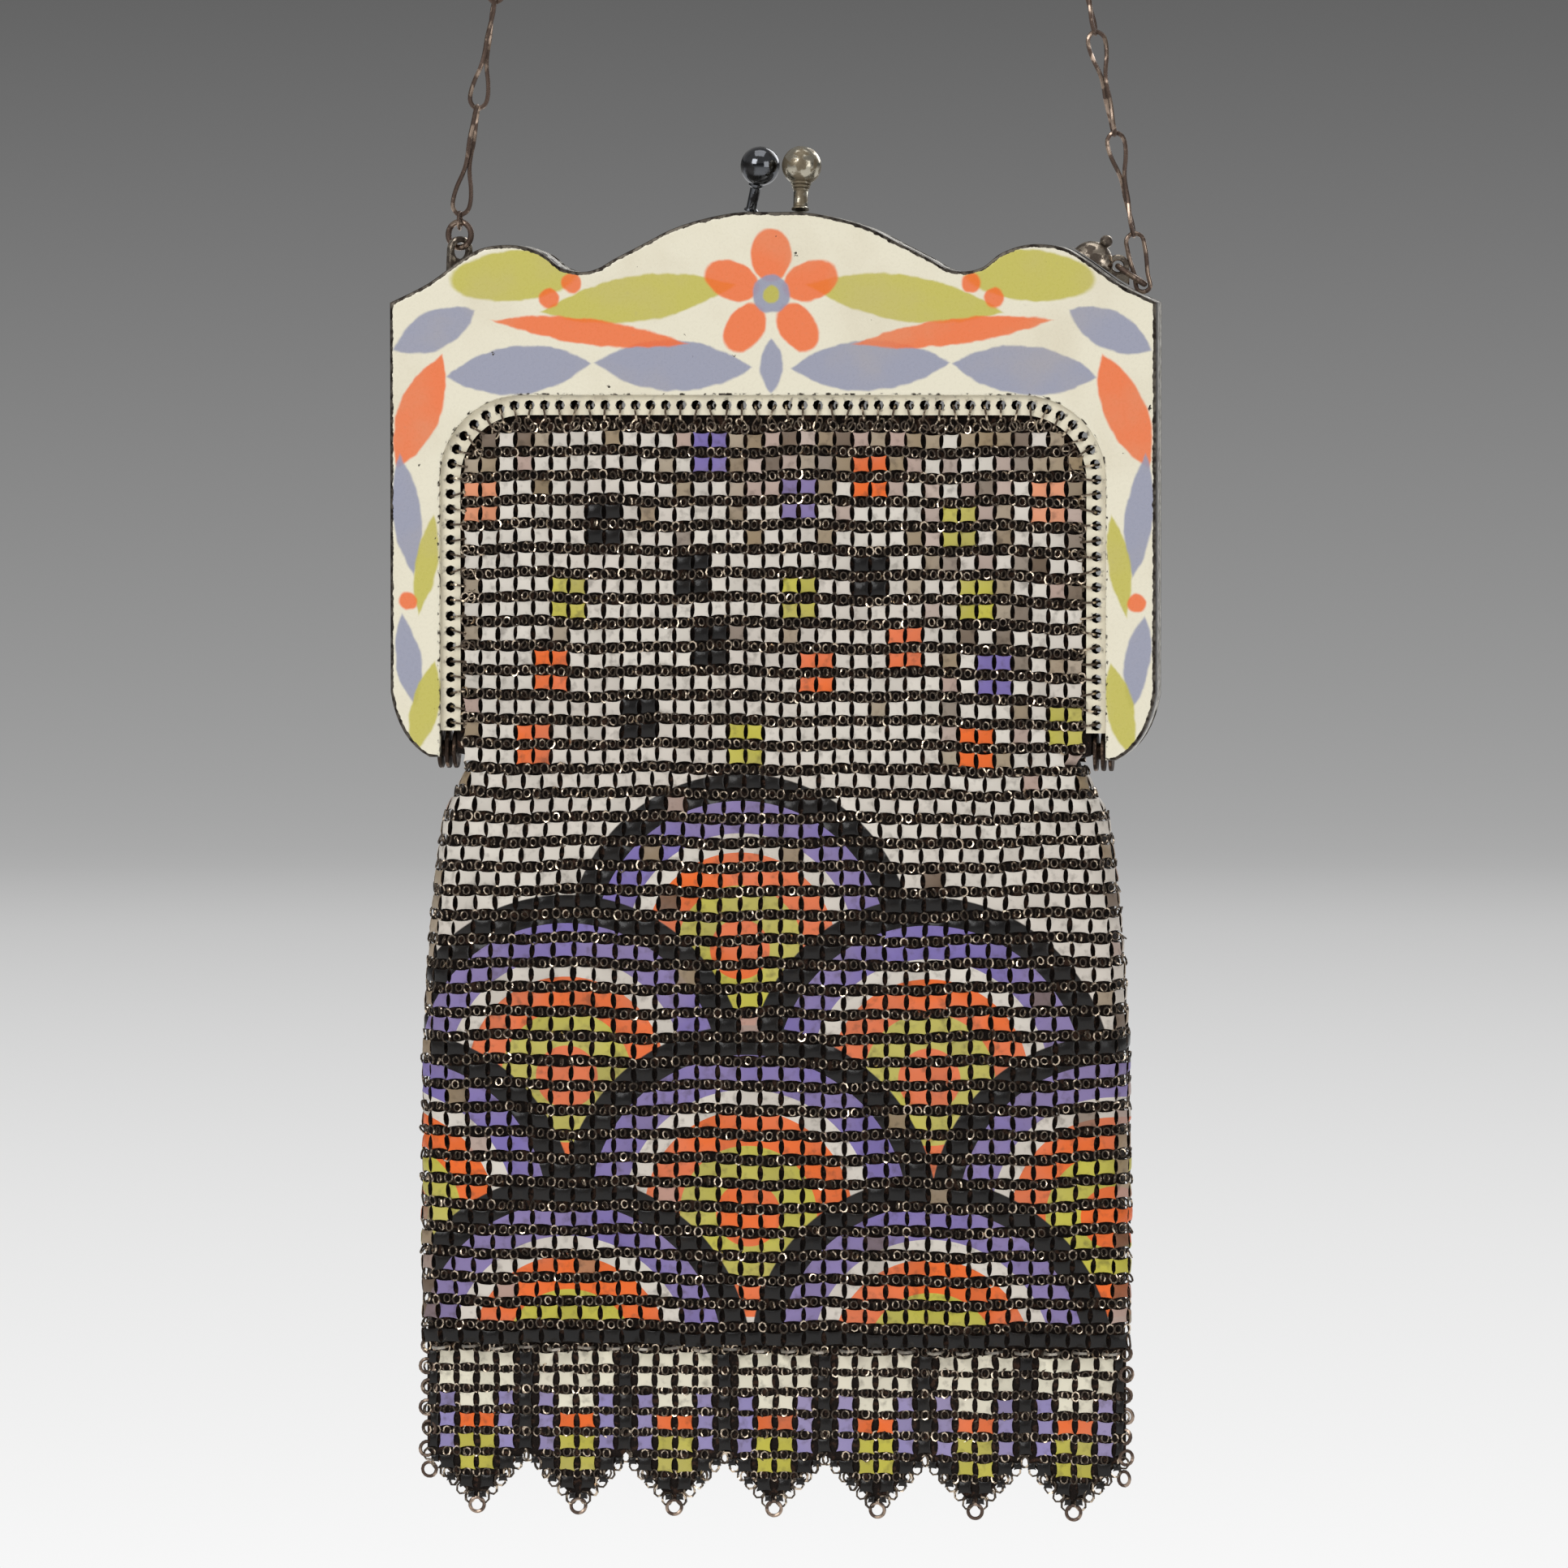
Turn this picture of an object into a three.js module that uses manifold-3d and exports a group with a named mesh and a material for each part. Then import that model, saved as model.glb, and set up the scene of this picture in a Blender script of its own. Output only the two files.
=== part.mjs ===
// A metal mesh purse with an enamelled frame, in millimetres.
// +X is to the wearer's right as seen from the front, +Y goes into the purse, +Z is up.
// The purse hangs from the top of its chain loop, which is the origin.
// Pieces are built at heights measured from the feet of the frame, and one group lowers them all.
import * as THREE from "three";
import { mergeVertices } from "three/addons/utils/BufferGeometryUtils.js";
import Module from "manifold-3d";

const wasm = await Module();
wasm.setup();

// The frame
const frameWidth = 101.2;
const frameHeight = 71.7; // from the feet to the top of the crest
const frameDepth = 9; // both halves, closed
const plateThickness = 0.8;
const rimThickness = 0.8;
const halvesGap = 0.6; // between the rims of the two halves
const legWidth = 6.6; // the plate beside the opening
const footCornerHeight = 8.5; // how far up the round lower corner starts
const footInset = 5.2; // how far in from the side the foot ends
const openingHeight = 47.7;
const openingRadius = 11;

// The pierced rails
const railWidth = 2.6; // the part that shows inside the opening
const railTuck = 0.9; // the part hidden behind the plate
const railThickness = 0.7;
const railFootHeight = 3.5;
const holeDiameter = 1.2;
const holePitch = 4;

// The mesh bag
const clearance = 0.3; // between any piece and the piece it sits against
const meshWall = 1;
const bagWidth = 94.4;
const bagLength = 77.3; // from the feet of the frame to the hem
const bagDepth = 11;
const hemDepth = 4;

// The fringe
const fringeInset = 0.7; // from the bag's sides to the fringe's
const fringeWidth = bagWidth - 2 * fringeInset;
const fringeDrop = 16.2; // from the hem to the notches between the points
const pointDrop = 5.1; // from the notches to the tips
const pointCount = 7;
const fringeThickness = 1.2;
const fringeHead = 3.2;
const slitWidth = 0.5;
const tipWidth = 1.6;
const tipRingRadius = 0.95;
const tipRingWire = 0.4;

// The snap clasp
const ballDiameter = 5.2;
const ballHeight = 6.1; // of the balls' centres above the crest
const leftBallX = -2.1;
const leftStemX = -3.5;
const leftStemDiameter = 1.4;
const rightBallX = 3.6;
const rightStemDiameter = 1.9;
const collarDiameter = 2.7;
const ballLean = 1.5; // how far each stem leans over from its own half towards the other

// The hinges
const hingeRadius = 2.6;
const hingePinRadius = 1.1;
const hingeLeafThickness = 0.5;
const hingeLeafGap = 0.5;
const hingeLeaves = 3;
const hingeHeight = 1;

// The ears and their rings
const earInset = 8.3; // from the frame's side to the left ear's eye
const earX = frameWidth / 2 - earInset;
const earEyeHeight = 2.1; // above the sloping shoulder
const earEyeRadius = 1.1;
const earRimRadius = 1.9;
const earThickness = 0.9;
const earBaseWidth = 4.4;
const earTurn = 45; // degrees about the upright
const ringRadius = 1.7;
const ringWire = 0.8;
const ringTurn = 20; // degrees about the upright
const domeInset = 9; // from the frame's side to the middle of the right ear's dome
const domeX = frameWidth / 2 - domeInset;
const domeWidth = 5.6;
const domeDepth = 3.8;
const domeHeight = 2.4;
const beadRadius = 0.85;
const sideEyeOut = 3.4; // from the dome's middle to the eye on its side
const sideEyeRise = 1.9; // above the sloping shoulder
const sideEyeRadius = 0.75;
const sideRimRadius = 1.5;
const sideRingLength = 4.2; // between the wire's centres
const sideRingWidth = 3;
const sideRingSlope = 34; // degrees below level

// The chain
const hangHeight = 266; // of the top of the chain loop above the feet of the frame
const chainWire = 0.6;
const loopWidth = 2.9; // over the wire
const linkLength = 13.8; // between the bearing points of a link, which the count makes even
const dropLinkLength = 7.6; // the single end loop on the right
const jumpRingRadius = 1.1;
const jumpRingWire = 0.5;
const linkBite = 0.4; // how far worn wires have settled into each other, as a share of the wire
// Where the loop bends over whatever carries it: half widths and depths below its top
const chainRoute = [
  { x: 11.5, down: 12.4 },
  { x: 6.9, down: 0 },
];

// The crest of the frame from the middle outwards, as shares of half the width and of the height
const crestRows = [
  { out: 0, up: 1 },
  { out: 0.09, up: 0.999 },
  { out: 0.18, up: 0.987 },
  { out: 0.26, up: 0.969 },
  { out: 0.335, up: 0.942 },
  { out: 0.41, up: 0.915 },
  { out: 0.455, up: 0.897 },
  { out: 0.5, up: 0.891 },
  { out: 0.55, up: 0.899 },
  { out: 0.6, up: 0.925 },
  { out: 0.67, up: 0.94 },
  { out: 0.75, up: 0.936 },
  { out: 0.81, up: 0.915 },
  { out: 0.9, up: 0.87 },
  { out: 1, up: 0.835 },
];
const crestSteps = 32;

// The bag below the frame: height as a share of its length, flare from the panel's width to the full
// width, and swell from the panel's or the hem's depth to the full depth
const bagRows = [
  { down: 0.03, flare: 0.08, swell: 0.1 },
  { down: 0.1, flare: 0.52, swell: 0.4 },
  { down: 0.2, flare: 0.7, swell: 0.8 },
  { down: 0.34, flare: 0.86, swell: 1 },
  { down: 0.5, flare: 0.97, swell: 1 },
  { down: 0.74, flare: 1, swell: 0.8 },
  { down: 0.9, flare: 1, swell: 0.4 },
  { down: 1, flare: 1, swell: 0 },
];
// Where the bag's round upper corners have their sections, as shares of the corner's radius
const cornerShares = [0, 0.1, 0.35, 1];
// Folds of the mesh: place and width as shares of half the bag's width, top, bottom and depth
// as shares of the bag's length and of half its depth
const foldRows = [
  { at: -0.74, width: 0.1, top: -0.02, bottom: 0.55, depth: 0.16 },
  { at: -0.2, width: 0.3, top: 0.1, bottom: 1, depth: 0.08 },
  { at: 0.35, width: 0.25, top: -0.4, bottom: 0.4, depth: 0.1 },
  { at: 0.72, width: 0.16, top: -0.3, bottom: 0.95, depth: 0.14 },
];

// A link from its middle to its end: height as a share of half its length, spread as a share of half
// the loop's width
const linkRows = [
  { up: 0.28, spread: 0.46 },
  { up: 0.89, spread: 1 },
  { up: 1, spread: 0 },
];
// The single end loop from its lower end to its upper end, in the same shares
const dropLinkRows = [
  { up: -1, spread: 0 },
  { up: -0.86, spread: 0.78 },
  { up: -0.4, spread: 0.76 },
  { up: 0.1, spread: 0.95 },
  { up: 0.5, spread: 1 },
  { up: 0.84, spread: 0.9 },
  { up: 1, spread: 0 },
];
const wireSides = 5;

const halfWidth = frameWidth / 2;
const openingHalf = halfWidth - legWidth;
const plateFace = frameDepth / 2;
const railFace = plateFace - plateThickness - clearance;
const panelHalf = openingHalf - railWidth - clearance;
const panelTop = openingHeight - railWidth - clearance;
const panelRadius = openingRadius - railWidth - clearance;
const panelFace = railFace - railThickness / 2 + meshWall / 2;
const halfSeat = (plateFace + halvesGap / 2) / 2; // the middle of one half's rim, front to back
const degree = Math.PI / 180;

// One closed solid from a three.js geometry.
function solidOf(geometry) {
  const bare = geometry.clone();
  bare.deleteAttribute("normal");
  bare.deleteAttribute("uv");
  const merged = mergeVertices(bare, 1e-4);
  return new wasm.Manifold(
    new wasm.Mesh({
      numProp: 3,
      vertProperties: merged.attributes.position.array,
      triVerts: new Uint32Array(merged.index.array),
    }),
  );
}

// A three.js geometry from a closed solid.
function geometryOf(solid) {
  const mesh = solid.getMesh();
  const geometry = new THREE.BufferGeometry();
  geometry.setAttribute("position", new THREE.BufferAttribute(mesh.vertProperties, 3));
  geometry.setIndex(new THREE.BufferAttribute(mesh.triVerts, 1));
  geometry.computeVertexNormals();
  return geometry;
}

function join(geometries) {
  const solids = geometries.map(solidOf);
  return geometryOf(solids.reduce((whole, piece) => whole.add(piece)));
}

function cut(geometry, tool) {
  return geometryOf(solidOf(geometry).subtract(solidOf(tool)));
}

function piece(name, geometry, colour, roughness, metalness) {
  const material = new THREE.MeshStandardMaterial({ color: colour, roughness, metalness });
  const mesh = new THREE.Mesh(geometry, material);
  mesh.name = name;
  return mesh;
}

// An upright slab of a shape drawn in width and height, between two depths on one side of the purse.
function slab(shape, side, near, far) {
  const back = Math.max(side * near, side * far);
  const geometry = new THREE.ExtrudeGeometry(shape, {
    depth: Math.abs(far - near),
    bevelEnabled: false,
    curveSegments: 6,
  });
  return geometry.rotateX(Math.PI / 2).translate(0, back, 0);
}

// A wire bent round into a closed loop through the given points, with a joint at each point.
function closedWire(points, radius, sides) {
  const curve = new THREE.CatmullRomCurve3(points, true, "centripetal");
  curve.getPointAt = curve.getPoint;
  curve.getTangentAt = curve.getTangent;
  return new THREE.TubeGeometry(curve, points.length, radius, sides, true);
}

// The crest as a smooth curve from the left shoulder to the right one.
function crestPoints() {
  const right = crestRows.map((row) => new THREE.Vector2(row.out * halfWidth, row.up * frameHeight));
  const left = right.slice(1).reverse();
  const all = left.map((point) => new THREE.Vector2(-point.x, point.y)).concat(right);
  return new THREE.SplineCurve(all).getPoints(crestSteps);
}

// The outer edge of a frame half, from the left foot over the crest to the right foot.
function outerEdge() {
  const footX = halfWidth - footInset;
  const corner = new THREE.QuadraticBezierCurve(
    new THREE.Vector2(halfWidth, footCornerHeight),
    new THREE.Vector2(halfWidth - 0.2 * footInset, 0.25 * footCornerHeight),
    new THREE.Vector2(footX, 0),
  ).getPoints(5);
  const left = corner.map((point) => new THREE.Vector2(-point.x, point.y)).reverse();
  return left.concat(crestPoints(), corner);
}

// The same edge moved towards the inside of the frame.
function insetEdge(points, distance) {
  return points.map((point, i) => {
    const before = points[Math.max(i - 1, 0)];
    const after = points[Math.min(i + 1, points.length - 1)];
    const along = after.clone().sub(before).normalize();
    return new THREE.Vector2(point.x + along.y * distance, point.y - along.x * distance);
  });
}

// The path of an inverted U with round upper corners, from the left foot to the right one.
function archPoints(half, top, radius, foot) {
  const path = new THREE.Path();
  path.moveTo(-half, foot);
  path.lineTo(-half, top - radius);
  path.absarc(-half + radius, top - radius, radius, Math.PI, Math.PI / 2, true);
  path.lineTo(half - radius, top);
  path.absarc(half - radius, top - radius, radius, Math.PI / 2, 0, true);
  path.lineTo(half, foot);
  return path.getPoints(6);
}

// One half of the frame: the enamelled plate and the rim turned back along its outer edge.
function frameHalf(side) {
  const edge = outerEdge();
  const opening = archPoints(openingHalf, openingHeight, openingRadius, 0);
  const plate = new THREE.Shape(edge.concat(opening.reverse()));
  const inner = insetEdge(edge, rimThickness).reverse();
  const rim = new THREE.Shape(edge.concat(inner));
  return join([
    slab(plate, side, plateFace - plateThickness, plateFace),
    slab(rim, side, halvesGap / 2, plateFace),
  ]);
}

// A pierced rail: a flat strip round the opening with a row of round holes.
function rail(side) {
  const inner = archPoints(
    openingHalf - railWidth,
    openingHeight - railWidth,
    openingRadius - railWidth,
    railFootHeight,
  );
  const outer = archPoints(
    openingHalf + railTuck,
    openingHeight + railTuck,
    openingRadius + railTuck,
    railFootHeight,
  );
  const strip = slab(new THREE.Shape(outer.concat(inner.reverse())), side, railFace - railThickness, railFace);
  const inset = railWidth / 2;
  const line = archPoints(
    openingHalf - inset,
    openingHeight - inset,
    openingRadius - inset,
    railFootHeight + holeDiameter,
  );
  const row = new THREE.CurvePath();
  line.slice(1).forEach((point, i) => row.add(new THREE.LineCurve(line[i], point)));
  const count = Math.floor(row.getLength() / holePitch);
  let solid = solidOf(strip);
  for (let i = 0; i <= count; i++) {
    const centre = row.getPointAt(i / count);
    const punch = new THREE.CylinderGeometry(holeDiameter / 2, holeDiameter / 2, frameDepth / 2, 5);
    punch.translate(centre.x, (side * frameDepth) / 3, centre.y);
    solid = solid.subtract(solidOf(punch));
  }
  return geometryOf(solid);
}

// How far the mesh moves out at a place on its front or back.
function foldDepth(x, height) {
  const down = -height / bagLength;
  return foldRows.reduce((sum, fold) => {
    const across = (x / (bagWidth / 2) - fold.at) / fold.width;
    const middle = (fold.top + fold.bottom) / 2;
    const along = (down - middle) / ((fold.bottom - fold.top) / 2);
    const fade = Math.max(0, 1 - along * along);
    return sum + (fold.depth * fade * bagDepth * Math.exp(-across * across)) / 2;
  }, 0);
}

// The sections of the bag from its mouth to its hem: height, half width and half depth.
function bagSections() {
  const corner = cornerShares.map((share) => {
    const reach = Math.sqrt(1 - (1 - share) * (1 - share));
    return {
      height: panelTop - share * panelRadius,
      half: panelHalf - panelRadius * (1 - reach),
      deep: panelFace,
    };
  });
  const straight = [0.5, 0].map((share) => ({
    height: share * (panelTop - panelRadius),
    half: panelHalf,
    deep: panelFace,
  }));
  const body = bagRows.map((row) => {
    const ending = row.down < 0.5 ? panelFace : hemDepth / 2;
    return {
      height: -row.down * bagLength,
      half: panelHalf + row.flare * (bagWidth / 2 - panelHalf),
      deep: ending + row.swell * (bagDepth / 2 - ending),
    };
  });
  return corner.concat(straight, body);
}

// A point of a flat oval: turn runs once round from the middle of the front through the right side.
function ovalPoint(turn, half, deep) {
  const sideShare = 0.14; // of the way round that each rounded side takes
  const flatHalf = half - deep;
  const quarter = turn < 0.5 ? turn : 1 - turn;
  const mirror = turn < 0.5 ? 1 : -1;
  const flatEnd = (0.5 - sideShare) / 2;
  if (quarter <= flatEnd) return { x: (mirror * flatHalf * quarter) / flatEnd, y: -deep };
  if (quarter >= flatEnd + sideShare) {
    return { x: (mirror * flatHalf * (0.5 - quarter)) / flatEnd, y: deep };
  }
  const angle = ((quarter - flatEnd) / sideShare - 0.5) * Math.PI;
  return { x: mirror * (flatHalf + deep * Math.cos(angle)), y: deep * Math.sin(angle) };
}

// A cylinder drawn into the bag's form: a wall's thickness smaller all round when inset is set.
function bagBody(inset) {
  const sections = bagSections();
  const last = sections.length - 1;
  const around = 24;
  const geometry = new THREE.CylinderGeometry(1, 1, last, around, last);
  const place = geometry.attributes.position;
  for (let i = 0; i < place.count; i++) {
    const row = Math.round(last / 2 - place.getY(i));
    const section = sections[row];
    const radius = Math.hypot(place.getX(i), place.getZ(i));
    const angle = Math.atan2(place.getX(i), place.getZ(i));
    const turn = (Math.round((angle / (2 * Math.PI)) * around + around) % around) / around;
    const point = ovalPoint(turn, section.half - inset, section.deep - inset);
    const facing = Math.sign(point.y) * Math.min(1, Math.abs(point.y) / (section.deep - inset));
    let height = section.height;
    if (inset && row === last) height += meshWall;
    if (inset && row === 0) height += 1;
    const x = radius > 0.5 ? point.x : 0;
    const y = radius > 0.5 ? point.y + facing * foldDepth(point.x, section.height) : 0;
    place.setXYZ(i, x, y, height);
  }
  return geometry;
}

// The mesh bag: hollow, and split at both sides where its panels hang from the two rails.
function meshBag() {
  const hollow = cut(bagBody(0), bagBody(meshWall));
  const slotDepth = 2 * (panelFace - meshWall) - 1;
  const slotHeight = panelTop + 2;
  const slot = new THREE.BoxGeometry(bagWidth * 2, slotDepth, slotHeight);
  return cut(hollow, slot.translate(0, 0, slotHeight / 2));
}

// The fringe: a head along the hem, seven strips that end in points, and a ring at each tip.
function fringe() {
  const top = -bagLength - clearance;
  const notch = -bagLength - fringeDrop;
  const tip = notch - pointDrop;
  const pitch = fringeWidth / pointCount;
  const shape = new THREE.Shape();
  const rings = [];
  shape.moveTo(-fringeWidth / 2, top);
  for (let i = 0; i < pointCount; i++) {
    const middle = -fringeWidth / 2 + (i + 0.5) * pitch;
    const left = middle - pitch / 2 + (i ? slitWidth / 2 : 0);
    const right = middle + pitch / 2 - (i < pointCount - 1 ? slitWidth / 2 : 0);
    if (i) shape.lineTo(left, top - fringeHead);
    shape.lineTo(left, notch);
    shape.lineTo(middle - pitch / 5, tip + pointDrop / 3);
    shape.lineTo(middle - tipWidth / 2, tip);
    shape.lineTo(middle + tipWidth / 2, tip);
    shape.lineTo(middle + pitch / 5, tip + pointDrop / 3);
    shape.lineTo(right, notch);
    if (i < pointCount - 1) shape.lineTo(right, top - fringeHead);
    const ring = new THREE.TorusGeometry(tipRingRadius, tipRingWire / 2, wireSides, 10);
    rings.push(ring.rotateX(Math.PI / 2).translate(middle, 0, tip - tipRingRadius + tipRingWire / 3));
  }
  shape.lineTo(fringeWidth / 2, top);
  return join([slab(shape, 1, -fringeThickness / 2, fringeThickness / 2), ...rings]);
}

// A turned piece that stands at one point and leans towards another.
function turned(profile, foot, top) {
  const points = profile.map((row) => new THREE.Vector2(row.radius, row.up));
  const upright = new THREE.Vector3(0, 1, 0);
  const axis = top.clone().sub(foot).normalize();
  const lean = new THREE.Quaternion().setFromUnitVectors(upright, axis);
  return new THREE.LatheGeometry(points, 12).applyQuaternion(lean).translate(foot.x, foot.y, foot.z);
}

// The profile of a clasp ball: a stem, what joins it to the ball, and the ball.
function ballProfile(stemRadius, collar, height) {
  const radius = ballDiameter / 2;
  const rows = [{ radius: 0, up: 0 }, { radius: stemRadius, up: 0 }, ...collar];
  const reach = collar.length ? collar[collar.length - 1].radius : stemRadius;
  const start = Math.asin(Math.min(reach / radius, 1));
  const steps = 6;
  for (let i = 0; i <= steps; i++) {
    const angle = start + ((Math.PI - start) * i) / steps;
    const out = i === steps ? 0 : radius * Math.sin(angle);
    rows.push({ radius: out, up: height - radius * Math.cos(angle) });
  }
  return rows;
}

function claspBallLeft() {
  const foot = new THREE.Vector3(leftStemX, halfSeat, frameHeight + clearance);
  const centre = new THREE.Vector3(leftBallX, halfSeat - ballLean, frameHeight + ballHeight);
  const height = centre.distanceTo(foot);
  const seat = height - ballDiameter / 2;
  const collar = [
    { radius: leftStemDiameter / 2, up: seat - 0.3 },
    { radius: leftStemDiameter / 2 + 0.3, up: seat - 0.1 },
  ];
  return turned(ballProfile(leftStemDiameter / 2, collar, height), foot, centre);
}

function claspBallRight() {
  const foot = new THREE.Vector3(rightBallX, -halfSeat, frameHeight + clearance);
  const centre = new THREE.Vector3(rightBallX, ballLean - halfSeat, frameHeight + ballHeight);
  const height = centre.distanceTo(foot);
  const seat = height - ballDiameter / 2;
  const ringHeight = 0.45;
  const collar = [{ radius: rightStemDiameter / 2, up: seat - 3 * ringHeight + 0.4 }];
  for (let i = 0; i < 3; i++) {
    const low = seat - (3 - i) * ringHeight + 0.4;
    const out = collarDiameter / 2 - 0.16 * (2 - i);
    collar.push({ radius: out, up: low + 0.05 }, { radius: out - 0.16, up: low + ringHeight - 0.05 });
  }
  return turned(ballProfile(rightStemDiameter / 2, collar, height), foot, centre);
}

// A hinge: thin round leaves on a pin that runs across the purse.
function hinge(side) {
  const length = hingeLeaves * hingeLeafThickness + (hingeLeaves - 1) * hingeLeafGap;
  const profile = [new THREE.Vector2(0, 0)];
  for (let i = 0; i < hingeLeaves; i++) {
    const start = i * (hingeLeafThickness + hingeLeafGap);
    const end = start + hingeLeafThickness;
    if (i) profile.push(new THREE.Vector2(hingePinRadius, start));
    profile.push(new THREE.Vector2(hingeRadius, start), new THREE.Vector2(hingeRadius, end));
    if (i < hingeLeaves - 1) profile.push(new THREE.Vector2(hingePinRadius, end));
  }
  profile.push(new THREE.Vector2(0, length));
  const outside = openingHalfAtFoot() - clearance;
  const start = side > 0 ? outside - length : -outside;
  return new THREE.LatheGeometry(profile, 12).rotateZ(-Math.PI / 2).translate(start, 0, hingeHeight);
}

// Where the rim's inner face ends beside the hinge.
function openingHalfAtFoot() {
  const edge = insetEdge(outerEdge(), rimThickness);
  return edge[edge.length - 1].x;
}

// The height and the slope of the shoulder at a distance from the middle, on the left or the right.
function shoulderAt(x) {
  const points = crestPoints();
  const next = points.findIndex((point) => point.x > x);
  const low = points[next - 1];
  const high = points[next];
  const slope = (high.y - low.y) / (high.x - low.x);
  return { height: low.y + slope * (x - low.x), angle: Math.atan(slope) };
}

// Everything below a line that runs a clearance above the shoulder.
function belowShoulder(x) {
  const shoulder = shoulderAt(x);
  const size = 40;
  const block = new THREE.BoxGeometry(size, size, size).translate(0, 0, clearance - size / 2);
  return block.rotateY(-shoulder.angle).translate(x, 0, shoulder.height);
}

// A flat lug with an eye, drawn round the eye.
function lugShape(rimRadius, eyeRadius, baseWidth, drop) {
  const shape = new THREE.Shape();
  shape.moveTo(-baseWidth / 2, -drop);
  shape.lineTo(baseWidth / 2, -drop);
  shape.lineTo(rimRadius, 0);
  shape.absarc(0, 0, rimRadius, 0, Math.PI, false);
  const eye = new THREE.Path();
  eye.absarc(0, 0, eyeRadius, 0, 2 * Math.PI, true);
  shape.holes.push(eye);
  return shape;
}

function leftEye() {
  return new THREE.Vector3(-earX, halfSeat, shoulderAt(-earX).height + earEyeHeight);
}

function earLeft() {
  const eye = leftEye();
  const shape = lugShape(earRimRadius, earEyeRadius, earBaseWidth, earEyeHeight + earBaseWidth);
  const lug = slab(shape, 1, -earThickness / 2, earThickness / 2);
  lug.rotateZ(earTurn * degree).translate(eye.x, eye.y, eye.z);
  return cut(lug, belowShoulder(-earX));
}

function leftRingCentre() {
  const rise = earEyeRadius - ringWire / 2 - clearance + ringRadius;
  return leftEye().add(new THREE.Vector3(0, 0, rise));
}

function ringLeft() {
  const centre = leftRingCentre();
  const ring = new THREE.TorusGeometry(ringRadius, ringWire / 2, 6, 14);
  return ring
    .rotateX(Math.PI / 2)
    .rotateZ((-90 + earTurn + ringTurn + 5) * degree)
    .translate(centre.x, centre.y, centre.z);
}

// The eye on the outer side of the right ear.
function rightEye() {
  const x = domeX + sideEyeOut;
  return new THREE.Vector3(x, halfSeat, shoulderAt(x).height + sideEyeRise);
}

// The right ear: a low dome with a bead on top and an eye at its outer side.
function earRight() {
  const shoulder = shoulderAt(domeX);
  const dome = new THREE.SphereGeometry(1, 12, 8).rotateX(Math.PI / 2);
  dome.scale(domeWidth / 2, domeDepth / 2, domeHeight + clearance);
  const bead = new THREE.SphereGeometry(beadRadius, 10, 6).translate(0, 0, domeHeight + beadRadius);
  const body = join([dome, bead]);
  body.rotateY(-shoulder.angle).translate(domeX, halfSeat, shoulder.height);
  const eye = rightEye();
  const shape = lugShape(sideRimRadius, sideEyeRadius, 2 * sideRimRadius, sideEyeRise + sideRimRadius);
  const lug = slab(shape, 1, -earThickness / 2, earThickness / 2).translate(eye.x, eye.y, eye.z);
  return cut(cut(join([body, lug]), belowShoulder(domeX)), belowShoulder(eye.x));
}

// The way the right ring runs from its eye, outwards and down.
function sideRingWay() {
  const slope = sideRingSlope * degree;
  return new THREE.Vector3(Math.cos(slope), 0, -Math.sin(slope));
}

function ringRight() {
  const eye = rightEye();
  const way = sideRingWay();
  const points = [];
  const steps = 12;
  for (let i = 0; i < steps; i++) {
    const angle = (2 * Math.PI * i) / steps;
    const along = (sideRingLength / 2) * (1 - Math.cos(angle));
    const across = (sideRingWidth / 2) * Math.sin(angle);
    points.push(eye.clone().addScaledVector(way, along).add(new THREE.Vector3(0, across, 0)));
  }
  return closedWire(points, ringWire / 2, wireSides + 1);
}

// One closed wire link from one bearing point to the next. Its two loops stand square to each other
// when twist is 90 degrees, and each end reaches past its bearing point by the given length.
function link(from, to, rows, roll, twist, reachFrom, reachTo) {
  const along = to.clone().sub(from).normalize();
  const start = from.clone().addScaledVector(along, -reachFrom);
  const end = to.clone().addScaledVector(along, reachTo);
  const middle = start.clone().add(end).multiplyScalar(0.5);
  const halfLength = start.distanceTo(end) / 2;
  const ahead = new THREE.Vector3(0, 1, 0);
  const across = new THREE.Vector3().crossVectors(ahead, along).normalize();
  const deep = new THREE.Vector3().crossVectors(along, across);
  const spreadMost = (loopWidth - chainWire) / 2;
  const wire = (row, way) => {
    const bend = THREE.MathUtils.clamp(row.up / 0.6, -1, 1);
    const angle = (roll + (twist / 2) * bend) * degree;
    const out = way * row.spread * spreadMost;
    return middle
      .clone()
      .addScaledVector(along, row.up * halfLength)
      .addScaledVector(across, out * Math.cos(angle))
      .addScaledVector(deep, out * Math.sin(angle));
  };
  const rising = rows.map((row) => wire(row, 1));
  const falling = rows.slice(1, -1).reverse();
  const points = rising.concat(falling.map((row) => wire(row, -1)));
  return closedWire(points, chainWire / 2, wireSides);
}

// All the rows of a figure-eight link, from its lower end to its upper end.
function fullLinkRows() {
  const lower = linkRows.slice().reverse();
  return lower.map((row) => ({ up: -row.up, spread: row.spread })).concat(linkRows);
}

const wireReach = (chainWire / 2) * (1 - linkBite); // past a bearing point, where two wires have settled
const looseReach = chainWire + clearance; // past a bearing point, where the two strands meet

// A row of even links between two points.
function strand(from, to, roll, lastReach) {
  const count = Math.max(1, Math.round(from.distanceTo(to) / linkLength));
  const rows = fullLinkRows();
  const links = [];
  for (let i = 0; i < count; i++) {
    const start = from.clone().lerp(to, i / count);
    const end = from.clone().lerp(to, (i + 1) / count);
    const sway = roll + 12 * Math.sin(1.7 * i);
    links.push(link(start, end, rows, sway, 90, wireReach, i === count - 1 ? lastReach : wireReach));
  }
  return links;
}

function routePoint(side, step) {
  const bend = chainRoute[step];
  return new THREE.Vector3(side * bend.x, 0, hangHeight - bend.down);
}

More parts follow.
